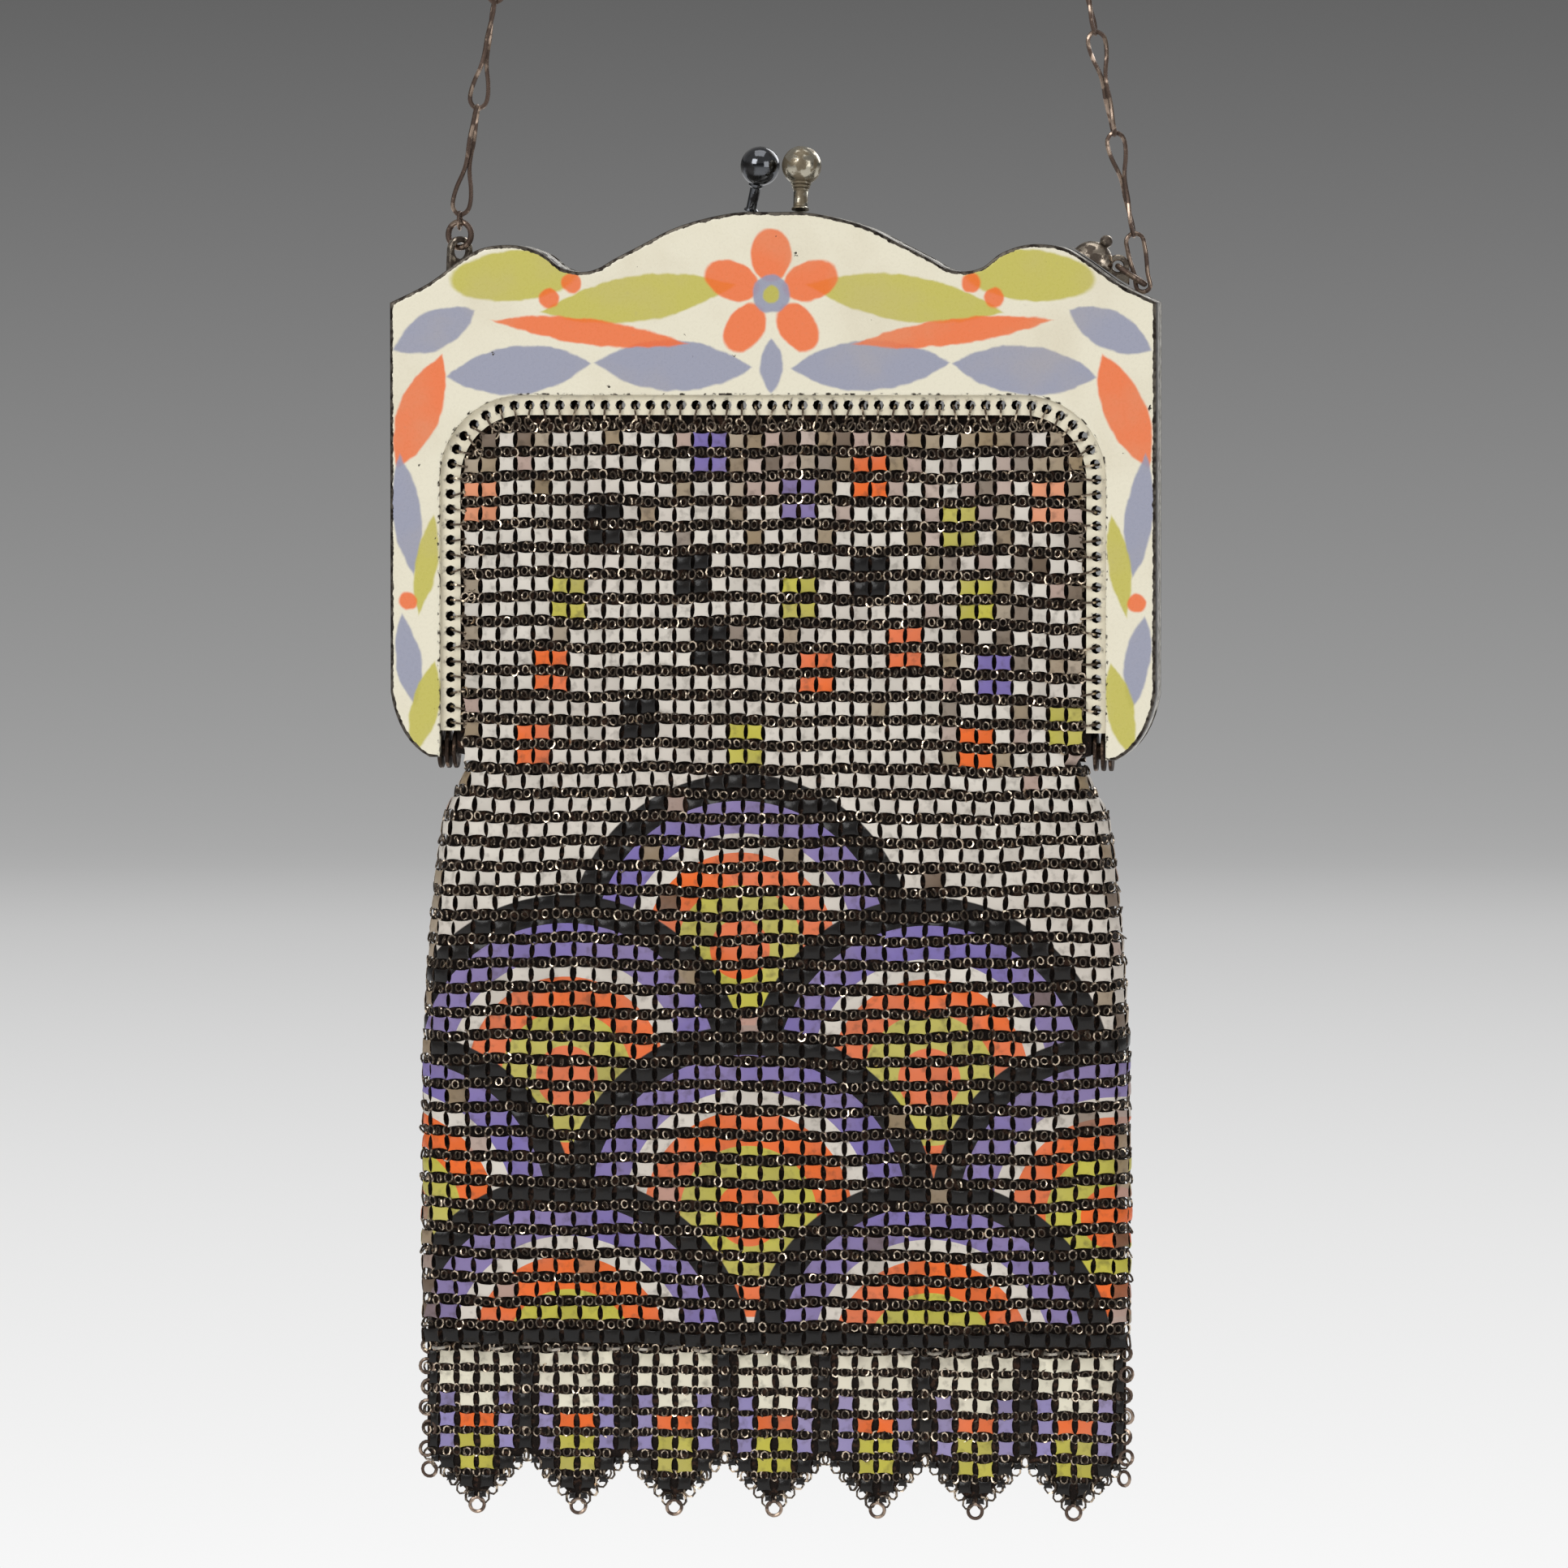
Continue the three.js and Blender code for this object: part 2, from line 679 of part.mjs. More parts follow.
// The left strand with its jump ring, and the link across the top of the loop.
function chainLeft() {
  const ringTop = leftRingCentre().z + ringRadius;
  const centreHeight = ringTop - (ringWire + jumpRingWire) / 2 - clearance + jumpRingRadius;
  const centre = new THREE.Vector3(leftRingCentre().x, halfSeat, centreHeight);
  const jump = new THREE.TorusGeometry(jumpRingRadius, jumpRingWire / 2, wireSides, 12);
  jump.rotateY(Math.PI / 2).rotateX(Math.PI / 12).translate(centre.x, centre.y, centre.z);
  const top = centre.clone().add(new THREE.Vector3(0, 0, jumpRingRadius - chainWire / 4));
  const bend = routePoint(-1, 0);
  const crownLeft = routePoint(-1, 1);
  const crownRight = routePoint(1, 1);
  return join([
    jump,
    ...strand(top, bend, 45, wireReach),
    ...strand(bend, crownLeft, 45, wireReach),
    ...strand(crownLeft, crownRight, 45, wireReach),
  ]);
}

// The right strand with its single end loop, up to the link across the top.
function chainRight() {
  const ringEnd = rightEye().addScaledVector(sideRingWay(), sideRingLength);
  const bearing = (ringWire + chainWire) / 2 + clearance;
  const low = ringEnd.clone().add(new THREE.Vector3(0, 0, -bearing));
  const bend = routePoint(1, 0);
  const way = bend.clone().sub(low).normalize();
  const dropTop = low.clone().addScaledVector(way, dropLinkLength);
  return join([
    link(low, dropTop, dropLinkRows, 0, 0, 0, wireReach),
    ...strand(dropTop, bend, -45, wireReach),
    ...strand(bend, routePoint(1, 1), -45, looseReach),
  ]);
}

const enamel = 0xe1dac8;
const darkMetal = 0x3a342f;
const wornMetal = 0x5a4a40;
const paleMetal = 0xb9b5a6;

const purse = new THREE.Group();
purse.position.z = -hangHeight;
purse.add(piece("frame_front", frameHalf(-1), enamel, 0.45, 0.1));
purse.add(piece("frame_back", frameHalf(1), enamel, 0.45, 0.1));
purse.add(piece("rail_front", rail(-1), enamel, 0.5, 0.1));
purse.add(piece("rail_back", rail(1), enamel, 0.5, 0.1));
purse.add(piece("hinge_left", hinge(-1), wornMetal, 0.7, 0.8));
purse.add(piece("hinge_right", hinge(1), wornMetal, 0.7, 0.8));
purse.add(piece("clasp_ball_left", claspBallLeft(), darkMetal, 0.15, 1));
purse.add(piece("clasp_ball_right", claspBallRight(), paleMetal, 0.3, 1));
purse.add(piece("ear_left", earLeft(), wornMetal, 0.5, 0.9));
purse.add(piece("ear_right", earRight(), wornMetal, 0.4, 0.9));
purse.add(piece("ring_left", ringLeft(), wornMetal, 0.4, 0.9));
purse.add(piece("ring_right", ringRight(), wornMetal, 0.4, 0.9));
purse.add(piece("chain_left", chainLeft(), wornMetal, 0.4, 0.9));
purse.add(piece("chain_right", chainRight(), wornMetal, 0.4, 0.9));
purse.add(piece("mesh_bag", meshBag(), 0xc8c8c3, 0.5, 0.3));
purse.add(piece("fringe", fringe(), 0xc8c8c3, 0.5, 0.3));

const model = new THREE.Group();
model.add(purse);
export default model;
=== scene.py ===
"""The looks of a metal mesh purse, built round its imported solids.

Sizes are in millimetres and heights are measured from the feet of the frame. Every mesh is written
in metres in the shared frame, whose origin is the top of the chain loop.
"""

import logging
import math
from dataclasses import dataclass, field
from enum import Enum
from typing import Callable, Sequence

import bmesh
import bpy
import numpy as np
from mathutils import Matrix, Vector


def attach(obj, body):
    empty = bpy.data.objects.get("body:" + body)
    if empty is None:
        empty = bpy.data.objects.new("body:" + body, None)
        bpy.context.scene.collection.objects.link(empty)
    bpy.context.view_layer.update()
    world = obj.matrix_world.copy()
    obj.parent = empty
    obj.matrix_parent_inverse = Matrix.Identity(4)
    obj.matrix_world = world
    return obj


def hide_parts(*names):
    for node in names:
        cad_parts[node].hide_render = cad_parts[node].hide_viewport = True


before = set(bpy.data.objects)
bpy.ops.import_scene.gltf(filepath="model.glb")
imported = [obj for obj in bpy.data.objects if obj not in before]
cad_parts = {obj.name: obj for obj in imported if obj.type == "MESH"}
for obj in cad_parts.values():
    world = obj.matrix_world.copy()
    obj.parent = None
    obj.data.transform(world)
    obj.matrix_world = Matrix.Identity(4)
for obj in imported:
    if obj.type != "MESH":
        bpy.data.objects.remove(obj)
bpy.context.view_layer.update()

log = logging.getLogger("purse")

HANG_HEIGHT = 266.0  # the top of the chain loop above the feet of the frame
CLEARANCE = 0.3

Point = tuple[float, float, float]
Colour = tuple[float, float, float, float]


class Side(Enum):
    """The two faces of the purse, with the way each one looks along Y."""

    FRONT = -1
    BACK = 1


def place(point: Sequence[float]) -> Point:
    """Turns a point in millimetres above the frame's feet into metres in the shared frame.

    Args:
        point: X, Y and the height above the feet.

    Returns:
        The same point in metres below the origin.
    """
    x, y, up = point
    return (x / 1000, y / 1000, (up - HANG_HEIGHT) / 1000)


def linear(red: float, green: float, blue: float) -> Colour:
    """Turns a screen colour of 0 to 255 into the linear values that a shader takes.

    Args:
        red: The red share.
        green: The green share.
        blue: The blue share.

    Returns:
        Linear red, green and blue with full alpha.
    """
    shares = [value / 255 for value in (red, green, blue)]
    parts = [s / 12.92 if s <= 0.04045 else ((s + 0.055) / 1.055) ** 2.4 for s in shares]
    return (parts[0], parts[1], parts[2], 1.0)


# Shaders


class Field:
    """A number that varies over a surface, with Python's operators on its socket."""

    def __init__(self, paint: "Paint", socket: bpy.types.NodeSocket) -> None:
        """Keeps the socket and the material that it belongs to.

        Args:
            paint: The material under construction.
            socket: The output that carries the number.
        """
        self.paint = paint
        self.socket = socket

    def math(self, operation: str, *others: "Field | float") -> "Field":
        """Adds one Math node.

        Args:
            operation: The Math node's operation.
            *others: What its further inputs take.

        Returns:
            The node's result.
        """
        values: dict[int | str, object] = {0: self}
        values.update({i + 1: other for i, other in enumerate(others)})
        made = self.paint.node("ShaderNodeMath", {"operation": operation}, values)
        return Field(self.paint, made.outputs[0])

    def __add__(self, other: "Field | float") -> "Field":
        """The sum."""
        return self.math("ADD", other)

    __radd__ = __add__

    def __sub__(self, other: "Field | float") -> "Field":
        """The difference."""
        return self.math("SUBTRACT", other)

    def __rsub__(self, other: float) -> "Field":
        """The difference the other way round."""
        return self.math("MULTIPLY", -1.0).math("ADD", other)

    def __mul__(self, other: "Field | float") -> "Field":
        """The product."""
        return self.math("MULTIPLY", other)

    __rmul__ = __mul__

    def __abs__(self) -> "Field":
        """The size without its sign."""
        return self.math("ABSOLUTE")

    def ease(self, low: float, high: float) -> "Field":
        """Rises softly from 0 at low to 1 at high, or falls when low is the larger."""
        rising = low < high
        ends = {"From Min": min(low, high), "From Max": max(low, high)}
        reach = {"To Min": 0.0 if rising else 1.0, "To Max": 1.0 if rising else 0.0}
        values: dict[int | str, object] = {"Value": self, **ends, **reach}
        made = self.paint.node("ShaderNodeMapRange", {"interpolation_type": "SMOOTHSTEP"}, values)
        return Field(self.paint, made.outputs["Result"])


class Paint:
    """A procedural material under construction."""

    def __init__(self, name: str) -> None:
        """Starts a material with a Principled shader.

        Args:
            name: The material's name.
        """
        self.material = bpy.data.materials.new(name)
        self.material.use_nodes = True
        self.tree = self.material.node_tree
        self.tree.nodes.clear()
        self.shader = self.tree.nodes.new("ShaderNodeBsdfPrincipled")
        output = self.tree.nodes.new("ShaderNodeOutputMaterial")
        self.tree.links.new(self.shader.outputs[0], output.inputs["Surface"])
        self.place = self.node("ShaderNodeTexCoord").outputs["Object"]

    def node(
        self,
        kind: str,
        settings: dict[str, object] | None = None,
        values: dict[int | str, object] | None = None,
    ) -> bpy.types.Node:
        """Adds a node, sets it up and fills its sockets.

        Args:
            kind: The node's type.
            settings: Its own settings, or stops for a colour ramp.
            values: What each input takes, by name or number.

        Returns:
            The node.
        """
        made = self.tree.nodes.new(kind)
        for key, value in (settings or {}).items():
            if key == "stops":
                self._set_stops(made.color_ramp, value)
            else:
                setattr(made, key, value)
        for key, value in (values or {}).items():
            self.feed(made.inputs[key], value)
        return made

    def feed(self, socket: bpy.types.NodeSocket, value: object) -> None:
        """Links a socket to a value's source, or sets it.

        Args:
            socket: The input to fill.
            value: A field, a socket or a plain value.
        """
        source = value.socket if isinstance(value, Field) else value
        if isinstance(source, bpy.types.NodeSocket):
            self.tree.links.new(source, socket)
        else:
            socket.default_value = source

    @staticmethod
    def _set_stops(ramp: bpy.types.ColorRamp, stops: Sequence[tuple[float, Colour]]) -> None:
        """Gives a colour ramp its stops.

        Args:
            ramp: The ramp, with its two first stops.
            stops: Each stop's position and colour, in rising order.
        """
        while len(ramp.elements) < len(stops):
            ramp.elements.new(1.0)
        for element, (position, colour) in zip(ramp.elements, stops):
            element.position = position
            element.color = colour

    def axes(self) -> tuple[Field, Field, Field]:
        """The place on the piece as X, Y and the height above the frame's feet, in millimetres."""
        apart = self.node("ShaderNodeSeparateXYZ", None, {0: self.place})
        x, y, z = (Field(self, out) * 1000.0 for out in apart.outputs)
        return x, y, z + HANG_HEIGHT

    def noise(self, size: float, detail: float = 3.0, where: object = None) -> Field:
        """Cloudy noise.

        Args:
            size: The size of a cloud in millimetres.
            detail: How many finer layers it has.
            where: The coordinates, when they aren't the piece's own.

        Returns:
            Noise from 0 to 1.
        """
        values = {"Vector": where or self.place, "Scale": 1000 / size, "Detail": detail}
        return Field(self, self.node("ShaderNodeTexNoise", None, values).outputs["Fac"])

    def mix(self, amount: "Field | float", first: object, second: object) -> bpy.types.NodeSocket:
        """Blends two colours.

        Args:
            amount: The share of the second one.
            first: The first colour.
            second: The second colour.

        Returns:
            The blended colour's socket.
        """
        made = self.node("ShaderNodeMix", {"data_type": "RGBA"}, {0: amount, 6: first, 7: second})
        return made.outputs[2]

    def attribute(self, name: str) -> bpy.types.Node:
        """Reads one of the piece's own attributes."""
        return self.node("ShaderNodeAttribute", {"attribute_name": name})

    def bump(self, height: Field, depth: float, strength: float = 1.0) -> None:
        """Raises the surface by a field.

        Args:
            height: The field, from 0 to 1.
            depth: The height of 1, in millimetres.
            strength: The share of the effect.
        """
        values = {"Height": height, "Distance": depth / 1000, "Strength": strength}
        made = self.node("ShaderNodeBump", None, values)
        self.feed(self.shader.inputs["Normal"], made.outputs[0])

    def dress(self, **sockets: object) -> bpy.types.Material:
        """Fills the shader's sockets, named with underscores, and gives the material."""
        for key, value in sockets.items():
            self.feed(self.shader.inputs[key.replace("_", " ").title()], value)
        return self.material


@dataclass(frozen=True)
class Metal:
    """A bare metal, clouded with tarnish and finely scratched."""

    name: str
    bright: Colour
    tarnish: Colour
    gloss: float  # roughness where it is bright
    dull: float  # roughness where it is tarnished
    cloud: float = 1.6  # size of the tarnish's clouds
    share: float = 0.5  # how much of it is tarnished
    pitting: float = 0.012

    def material(self) -> bpy.types.Material:
        """The metal's material, made once."""
        ready = bpy.data.materials.get(self.name)
        if ready:
            return ready
        paint = Paint(self.name)
        clouds = paint.noise(self.cloud, 5.0)
        stain = clouds.ease(0.62 - 0.3 * self.share, 0.72 - 0.3 * self.share)
        grain = paint.noise(0.22, 2.0)
        colour = paint.mix(stain * 0.85 + grain * 0.15, self.bright, self.tarnish)
        rough = stain * (self.dull - self.gloss) + grain * 0.12 + (self.gloss - 0.06)
        paint.bump(grain * 0.5 + clouds * 0.5, self.pitting)
        return paint.dress(base_color=colour, roughness=rough, metallic=1.0 - stain * 0.25)


@dataclass(frozen=True)
class Palette:
    """The enamels of the purse."""

    cream: Colour = linear(236, 230, 208)
    pearl: Colour = linear(222, 215, 204)
    lavender: Colour = linear(148, 152, 176)
    lilac: Colour = linear(150, 140, 190)
    violet: Colour = linear(126, 112, 176)
    orange: Colour = linear(242, 110, 42)
    peach: Colour = linear(236, 156, 116)
    lime: Colour = linear(196, 188, 74)
    black: Colour = linear(24, 23, 23)
    brown: Colour = linear(104, 84, 64)
    tan: Colour = linear(152, 132, 102)
    rose: Colour = linear(184, 158, 146)


@dataclass(frozen=True)
class Leaf:
    """A pointed leaf of a stencil, on the half of the frame with positive X."""

    x: float
    up: float
    reach: float  # half its length
    swell: float  # half its width
    turn: float  # degrees from level
    colour: str

    def mask(self, paint: Paint, where: bpy.types.NodeSocket) -> Field:
        """Where the leaf is painted: the overlap of two discs.

        Args:
            paint: The material it is painted in.
            where: Flat coordinates in millimetres.

        Returns:
            1 inside the leaf and 0 outside it.
        """
        radius = (self.reach**2 + self.swell**2) / (2 * self.swell)
        values = {
            "Vector": where,
            "Location": (self.x, self.up, 0.0),
            "Rotation": (0.0, 0.0, math.radians(self.turn)),
        }
        local = paint.node("ShaderNodeMapping", {"vector_type": "TEXTURE"}, values)
        apart = paint.node("ShaderNodeSeparateXYZ", None, {0: local.outputs[0]})
        along, off = (Field(paint, socket) for socket in apart.outputs[:2])
        away = abs(off) + (radius - self.swell)
        distance = (along * along + away * away).math("SQRT")
        return distance.ease(radius + 0.2, radius - 0.2)


@dataclass(frozen=True)
class Spot:
    """A round or oval spot of a stencil, on the half of the frame with positive X."""

    x: float
    up: float
    across: float  # half its width
    rise: float  # half its height
    turn: float
    colour: str

    def mask(self, paint: Paint, where: bpy.types.NodeSocket) -> Field:
        """Where the spot is painted.

        Args:
            paint: The material it is painted in.
            where: Flat coordinates in millimetres.

        Returns:
            1 inside the spot and 0 outside it.
        """
        values = {
            "Vector": where,
            "Location": (self.x, self.up, 0.0),
            "Rotation": (0.0, 0.0, math.radians(self.turn)),
            "Scale": (self.across, self.rise, 1.0),
        }
        local = paint.node("ShaderNodeMapping", {"vector_type": "TEXTURE"}, values)
        length = paint.node("ShaderNodeVectorMath", {"operation": "LENGTH"}, {0: local.outputs[0]})
        soft = 0.2 / min(self.across, self.rise)
        return Field(paint, length.outputs["Value"]).ease(1 + soft, 1 - soft)


@dataclass(frozen=True)
class FrameEnamel:
    """Cream enamel on the frame with a stencilled spray of leaves, worn to the metal at its edges."""

    name: str = "frame_enamel_stencilled"
    palette: Palette = Palette()
    metal: Colour = linear(92, 86, 78)
    rim: Colour = linear(206, 204, 198)
    motifs: tuple[Leaf | Spot, ...] = (
        Leaf(13.0, 51.6, 10.4, 3.3, 2, "lavender"),
        Leaf(33.4, 51.0, 9.6, 3.2, -5, "lavender"),
        Leaf(17.6, 60.4, 13.0, 3.0, -8, "lime"),
        Leaf(24.0, 56.0, 13.0, 1.7, 7, "orange"),
        Spot(34.0, 63.4, 8.6, 3.3, -5, "lime"),
        Spot(26.4, 62.4, 1.3, 1.3, 0, "orange"),
        Spot(29.4, 60.4, 1.3, 1.3, 0, "orange"),
        Leaf(44.6, 56.2, 6.0, 2.5, -26, "lavender"),
        Leaf(46.6, 45.6, 8.0, 2.8, -68, "orange"),
        Leaf(48.4, 32.0, 8.0, 1.9, 84, "lavender"),
        Leaf(45.8, 25.4, 6.6, 1.5, 99, "lime"),
        Spot(48.2, 20.6, 1.2, 1.2, 0, "orange"),
        Leaf(48.2, 12.8, 6.2, 1.7, 82, "lavender"),
        Leaf(46.0, 6.6, 6.2, 1.8, 102, "lime"),
        Spot(0.0, 66.0, 2.7, 3.4, 0, "orange"),
        Spot(5.2, 62.7, 2.5, 3.7, -68, "orange"),
        Spot(3.5, 56.6, 2.4, 3.5, -144, "orange"),
        Spot(0.0, 61.0, 2.5, 2.5, 0, "lavender"),
        Spot(0.0, 61.0, 1.1, 1.1, 0, "lime"),
        Leaf(0.0, 51.6, 3.6, 1.5, 90, "lavender"),
    )

    def material(self) -> bpy.types.Material:
        """The enamel's material, made once."""
        ready = bpy.data.materials.get(self.name)
        if ready:
            return ready
        paint = Paint(self.name)
        x, _, up = paint.axes()
        wobble = paint.noise(3.0, 2.0)
        values = {0: abs(x) + wobble * 0.9 - 0.45, 1: up + paint.noise(2.2, 2.0) * 0.8 - 0.4}
        flat = paint.node("ShaderNodeCombineXYZ", None, values).outputs[0]
        colour: object = self.palette.cream
        for motif in self.motifs:
            colour = paint.mix(motif.mask(paint, flat) * 0.9, colour, getattr(self.palette, motif.colour))
        cloud = paint.noise(9.0, 4.0)
        colour = paint.mix(cloud.ease(0.45, 0.8) * 0.22, colour, linear(196, 180, 150))
        fleck = paint.noise(0.55, 3.0)
        colour = paint.mix(fleck.ease(0.6, 0.8) * 0.12, colour, linear(150, 136, 118))
        edge = Field(paint, paint.attribute("wear").outputs["Fac"])
        ragged = edge + paint.noise(0.9, 4.0) * 1.1 - 0.55
        bare = ragged.ease(0.62, 0.74)
        chips = paint.noise(1.7, 6.0).ease(0.735, 0.75)
        bare = bare.math("MAXIMUM", chips)
        tarnish = paint.noise(0.8, 3.0).ease(0.35, 0.65)
        soot = paint.mix(tarnish, self.metal, linear(38, 32, 28))
        soot = paint.mix(edge.ease(1.4, 1.8), soot, paint.mix(tarnish * 0.6, self.rim, self.metal))
        paint.bump((1.0 - bare) * 0.8 + cloud * 0.2, 0.07)
        rough = bare * 0.16 + fleck * 0.12 + 0.22
        return paint.dress(base_color=paint.mix(bare, colour, soot), roughness=rough, metallic=bare * 0.9)


@dataclass(frozen=True)
class StripEnamel:
    """Cream enamel on the pierced strips, soiled and rubbed round the holes, with painted shade in the holes and
    on the back.
    """

    name: str = "strip_enamel"
    cream: Colour = linear(238, 230, 206)
    dirt_and_shade: Colour = linear(52, 40, 30)

    def material(self) -> bpy.types.Material:
        """The enamel's material, made once."""
        paint = Paint(self.name)
        edge = Field(paint, paint.attribute("wear").outputs["Fac"])
        # Darker where the marks are high: soiled, rubbed hole rims, and painted shade down the hole walls, the
        # side walls and the back face.
        grime_and_shade = (edge + paint.noise(0.7, 4.0) * 0.9 - 0.45).ease(0.5, 0.85)
        tone = paint.mix(paint.noise(2.5).ease(0.45, 0.75) * 0.35, self.cream, linear(188, 172, 146))
        paint.bump(paint.noise(0.4), 0.02)
        return paint.dress(
            base_color=paint.mix(grime_and_shade, tone, self.dirt_and_shade),
            roughness=grime_and_shade * 0.2 + 0.35,
            metallic=grime_and_shade * 0.5,
        )


@dataclass(frozen=True)
class Fan:
    """One fan of rings in the printed pattern of the mesh."""

    x: float
    up: float
    radius: float


@dataclass(frozen=True)
class PlateEnamel:
    """The enamel on the mesh plates: a scale pattern of ringed fans, patches, and worn metal edges."""

    name: str
    printed: bool
    palette: Palette = Palette()
    metal: Colour = linear(52, 43, 38)
    fans: tuple[Fan, ...] = (
        Fan(-4.0, -25.0, 23.0),
        Fan(-27.0, -42.0, 24.0),
        Fan(21.0, -42.0, 24.0),
        Fan(-50.0, -60.0, 24.0),
        Fan(-3.0, -60.0, 25.0),
        Fan(45.0, -60.0, 24.0),
        Fan(-27.0, -79.0, 24.0),
        Fan(21.0, -79.0, 24.0),
    )

    def _fan_print(self, paint: Paint, fan: Fan, where: object, below: object) -> object:
        """Paints one fan over what lies below it.

        Args:
            paint: The material.
            fan: The fan.
            where: Flat coordinates in millimetres.
            below: The colour below.

        Returns:
            The new colour.
        """
        tones = self.palette
        stops = (
            (0.0, tones.orange),
            (0.17, tones.lime),
            (0.36, tones.orange),
            (0.55, tones.pearl),
            (0.66, tones.violet),
            (0.84, tones.black),
        )
        values = {0: where, 1: (fan.x, fan.up, 0.0)}
        apart = paint.node("ShaderNodeVectorMath", {"operation": "DISTANCE"}, values)
        share = Field(paint, apart.outputs["Value"]) * (1 / fan.radius)
        ramp = paint.node("ShaderNodeValToRGB", {"stops": stops}, {0: share})
        ramp.color_ramp.interpolation = "CONSTANT"
        return paint.mix(share.ease(1.004, 0.996), below, ramp.outputs[0])

    def material(self) -> bpy.types.Material:
        """The enamel's material, made once."""
        paint = Paint(self.name)
        x, _, up = paint.axes()
        tint = paint.attribute("tint")
        colour: object = tint.outputs["Color"]
        if self.printed:
            flat = paint.node("ShaderNodeCombineXYZ", None, {0: x, 1: up}).outputs[0]
            drawn: object = self.palette.pearl
            for fan in self.fans:
                drawn = self._fan_print(paint, fan, flat, drawn)
            colour = paint.mix(Field(paint, tint.outputs["Alpha"]), drawn, colour)
        shade = Field(paint, paint.attribute("shade").outputs["Fac"])
        light = paint.node("ShaderNodeRGBToBW", None, {0: colour})
        pale = Field(paint, light.outputs[0]).ease(0.0, 0.12)
        worn = paint.noise(1.3, 5.0)
        cloud = paint.noise(16.0, 2.0).ease(0.4, 0.62)
        colour = paint.mix(cloud * pale * 0.18, colour, linear(186, 168, 158))
        colour = paint.mix(shade * (pale * 0.28 + 0.08), colour, linear(78, 68, 58))
        colour = paint.mix(worn.ease(0.5, 0.78) * (pale * 0.4 + 0.1), colour, linear(66, 54, 42))
        face = Field(paint, paint.attribute("face").outputs["Fac"])
        covered = (face + paint.noise(0.8, 3.0) * 0.9 - 0.45).ease(0.38, 0.56)
        rough = covered * (pale * 0.2 + 0.26) + (1.0 - covered) * 0.34
        steel = paint.mix(worn.ease(0.4, 0.7), self.metal, linear(118, 98, 82))
        paint.bump(paint.noise(0.5, 2.0), 0.03)
        paint.feed(paint.shader.inputs["Specular IOR Level"], 0.25)
        return paint.dress(
            base_color=paint.mix(covered, steel, colour),
            roughness=rough,
            metallic=(1.0 - covered) * 0.9,
        )


@dataclass(frozen=True)
class Backdrop:
    """The studio's sweep, which glows white under the purse and greyer the further out it lies."""

    name: str = "studio_sweep"
    greys: tuple[tuple[float, int], ...] = (
        (0.0, 255),
        (0.5, 240),
        (2.0, 195),
        (3.0, 135),
        (3.4, 95),
        (4.3, 70),
    )

    def material(self) -> bpy.types.Material:
        """The sweep's material, with its greys by the way out along the sweep in metres."""
        paint = Paint(self.name)
        rim = self.greys[-1][0]
        stops = [(out / rim, linear(grey, grey, grey)) for out, grey in self.greys]
        share = Field(paint, paint.attribute("way_out").outputs["Fac"]) * (1 / rim)
        ramp = paint.node("ShaderNodeValToRGB", {"stops": stops}, {0: share})
        paint.feed(paint.shader.inputs["Specular IOR Level"], 0.0)
        paint.feed(paint.shader.inputs["Emission Strength"], 1.0)
        return paint.dress(base_color=(0.0, 0.0, 0.0, 1.0), roughness=1.0, emission_color=ramp.outputs[0])


GUNMETAL = Metal("gunmetal_polished", linear(96, 98, 102), linear(40, 38, 38), 0.1, 0.3, 2.4, 0.35)
SILVER = Metal("silver_tarnished", linear(184, 178, 162), linear(112, 100, 80), 0.2, 0.5, 1.4, 0.6)
WIRE = Metal("chain_wire_worn", linear(166, 146, 130), linear(78, 62, 54), 0.3, 0.5, 1.8, 0.7)
LUG = Metal("lug_metal", linear(184, 172, 156), linear(70, 60, 52), 0.22, 0.5, 1.2, 0.6)
HINGE = Metal("hinge_metal_dark", linear(128, 106, 90), linear(46, 35, 28), 0.35, 0.6, 1.0, 0.8)
MESH_RING = Metal("mesh_ring_metal", linear(214, 196, 174), linear(42, 32, 26), 0.16, 0.5, 0.8, 0.72)
RAIL_RING = Metal("rail_ring_metal", linear(214, 196, 170), linear(62, 48, 38), 0.2, 0.5, 1.0, 0.7)
BAR = Metal("hem_bar_metal", linear(252, 246, 236), linear(206, 194, 176), 0.36, 0.5, 1.2, 0.2)
# The links behind the plates, made nearly black as painted shade of the bag's inside seen through the gaps.
INNER_LINKS_AND_SHADE = Metal("inner_links_dark", linear(66, 50, 42), linear(24, 18, 15), 0.45, 0.7, 0.9, 0.8, 0.2)


# Shapes


@dataclass
class Shape:
    """Vertices in millimetres and the faces between them."""

    vertices: list[Sequence[float]] = field(default_factory=list)
    faces: list[tuple[int, ...]] = field(default_factory=list)
    marks: list[float] = field(default_factory=list)

    def add(self, other: "Shape") -> "Shape":
        """Takes in another shape and gives the whole."""
        start = len(self.vertices)
        self.marks.extend([0.0] * (start - len(self.marks)))
        self.vertices.extend(other.vertices)
        self.marks.extend(other.marks or [0.0] * len(other.vertices))
        self.faces.extend(tuple(i + start for i in face) for face in other.faces)
        return self

    def moved(self, change: Callable[[Vector], Vector]) -> "Shape":
        """A copy with each vertex changed."""
        return Shape([tuple(change(Vector(v))) for v in self.vertices], list(self.faces), list(self.marks))


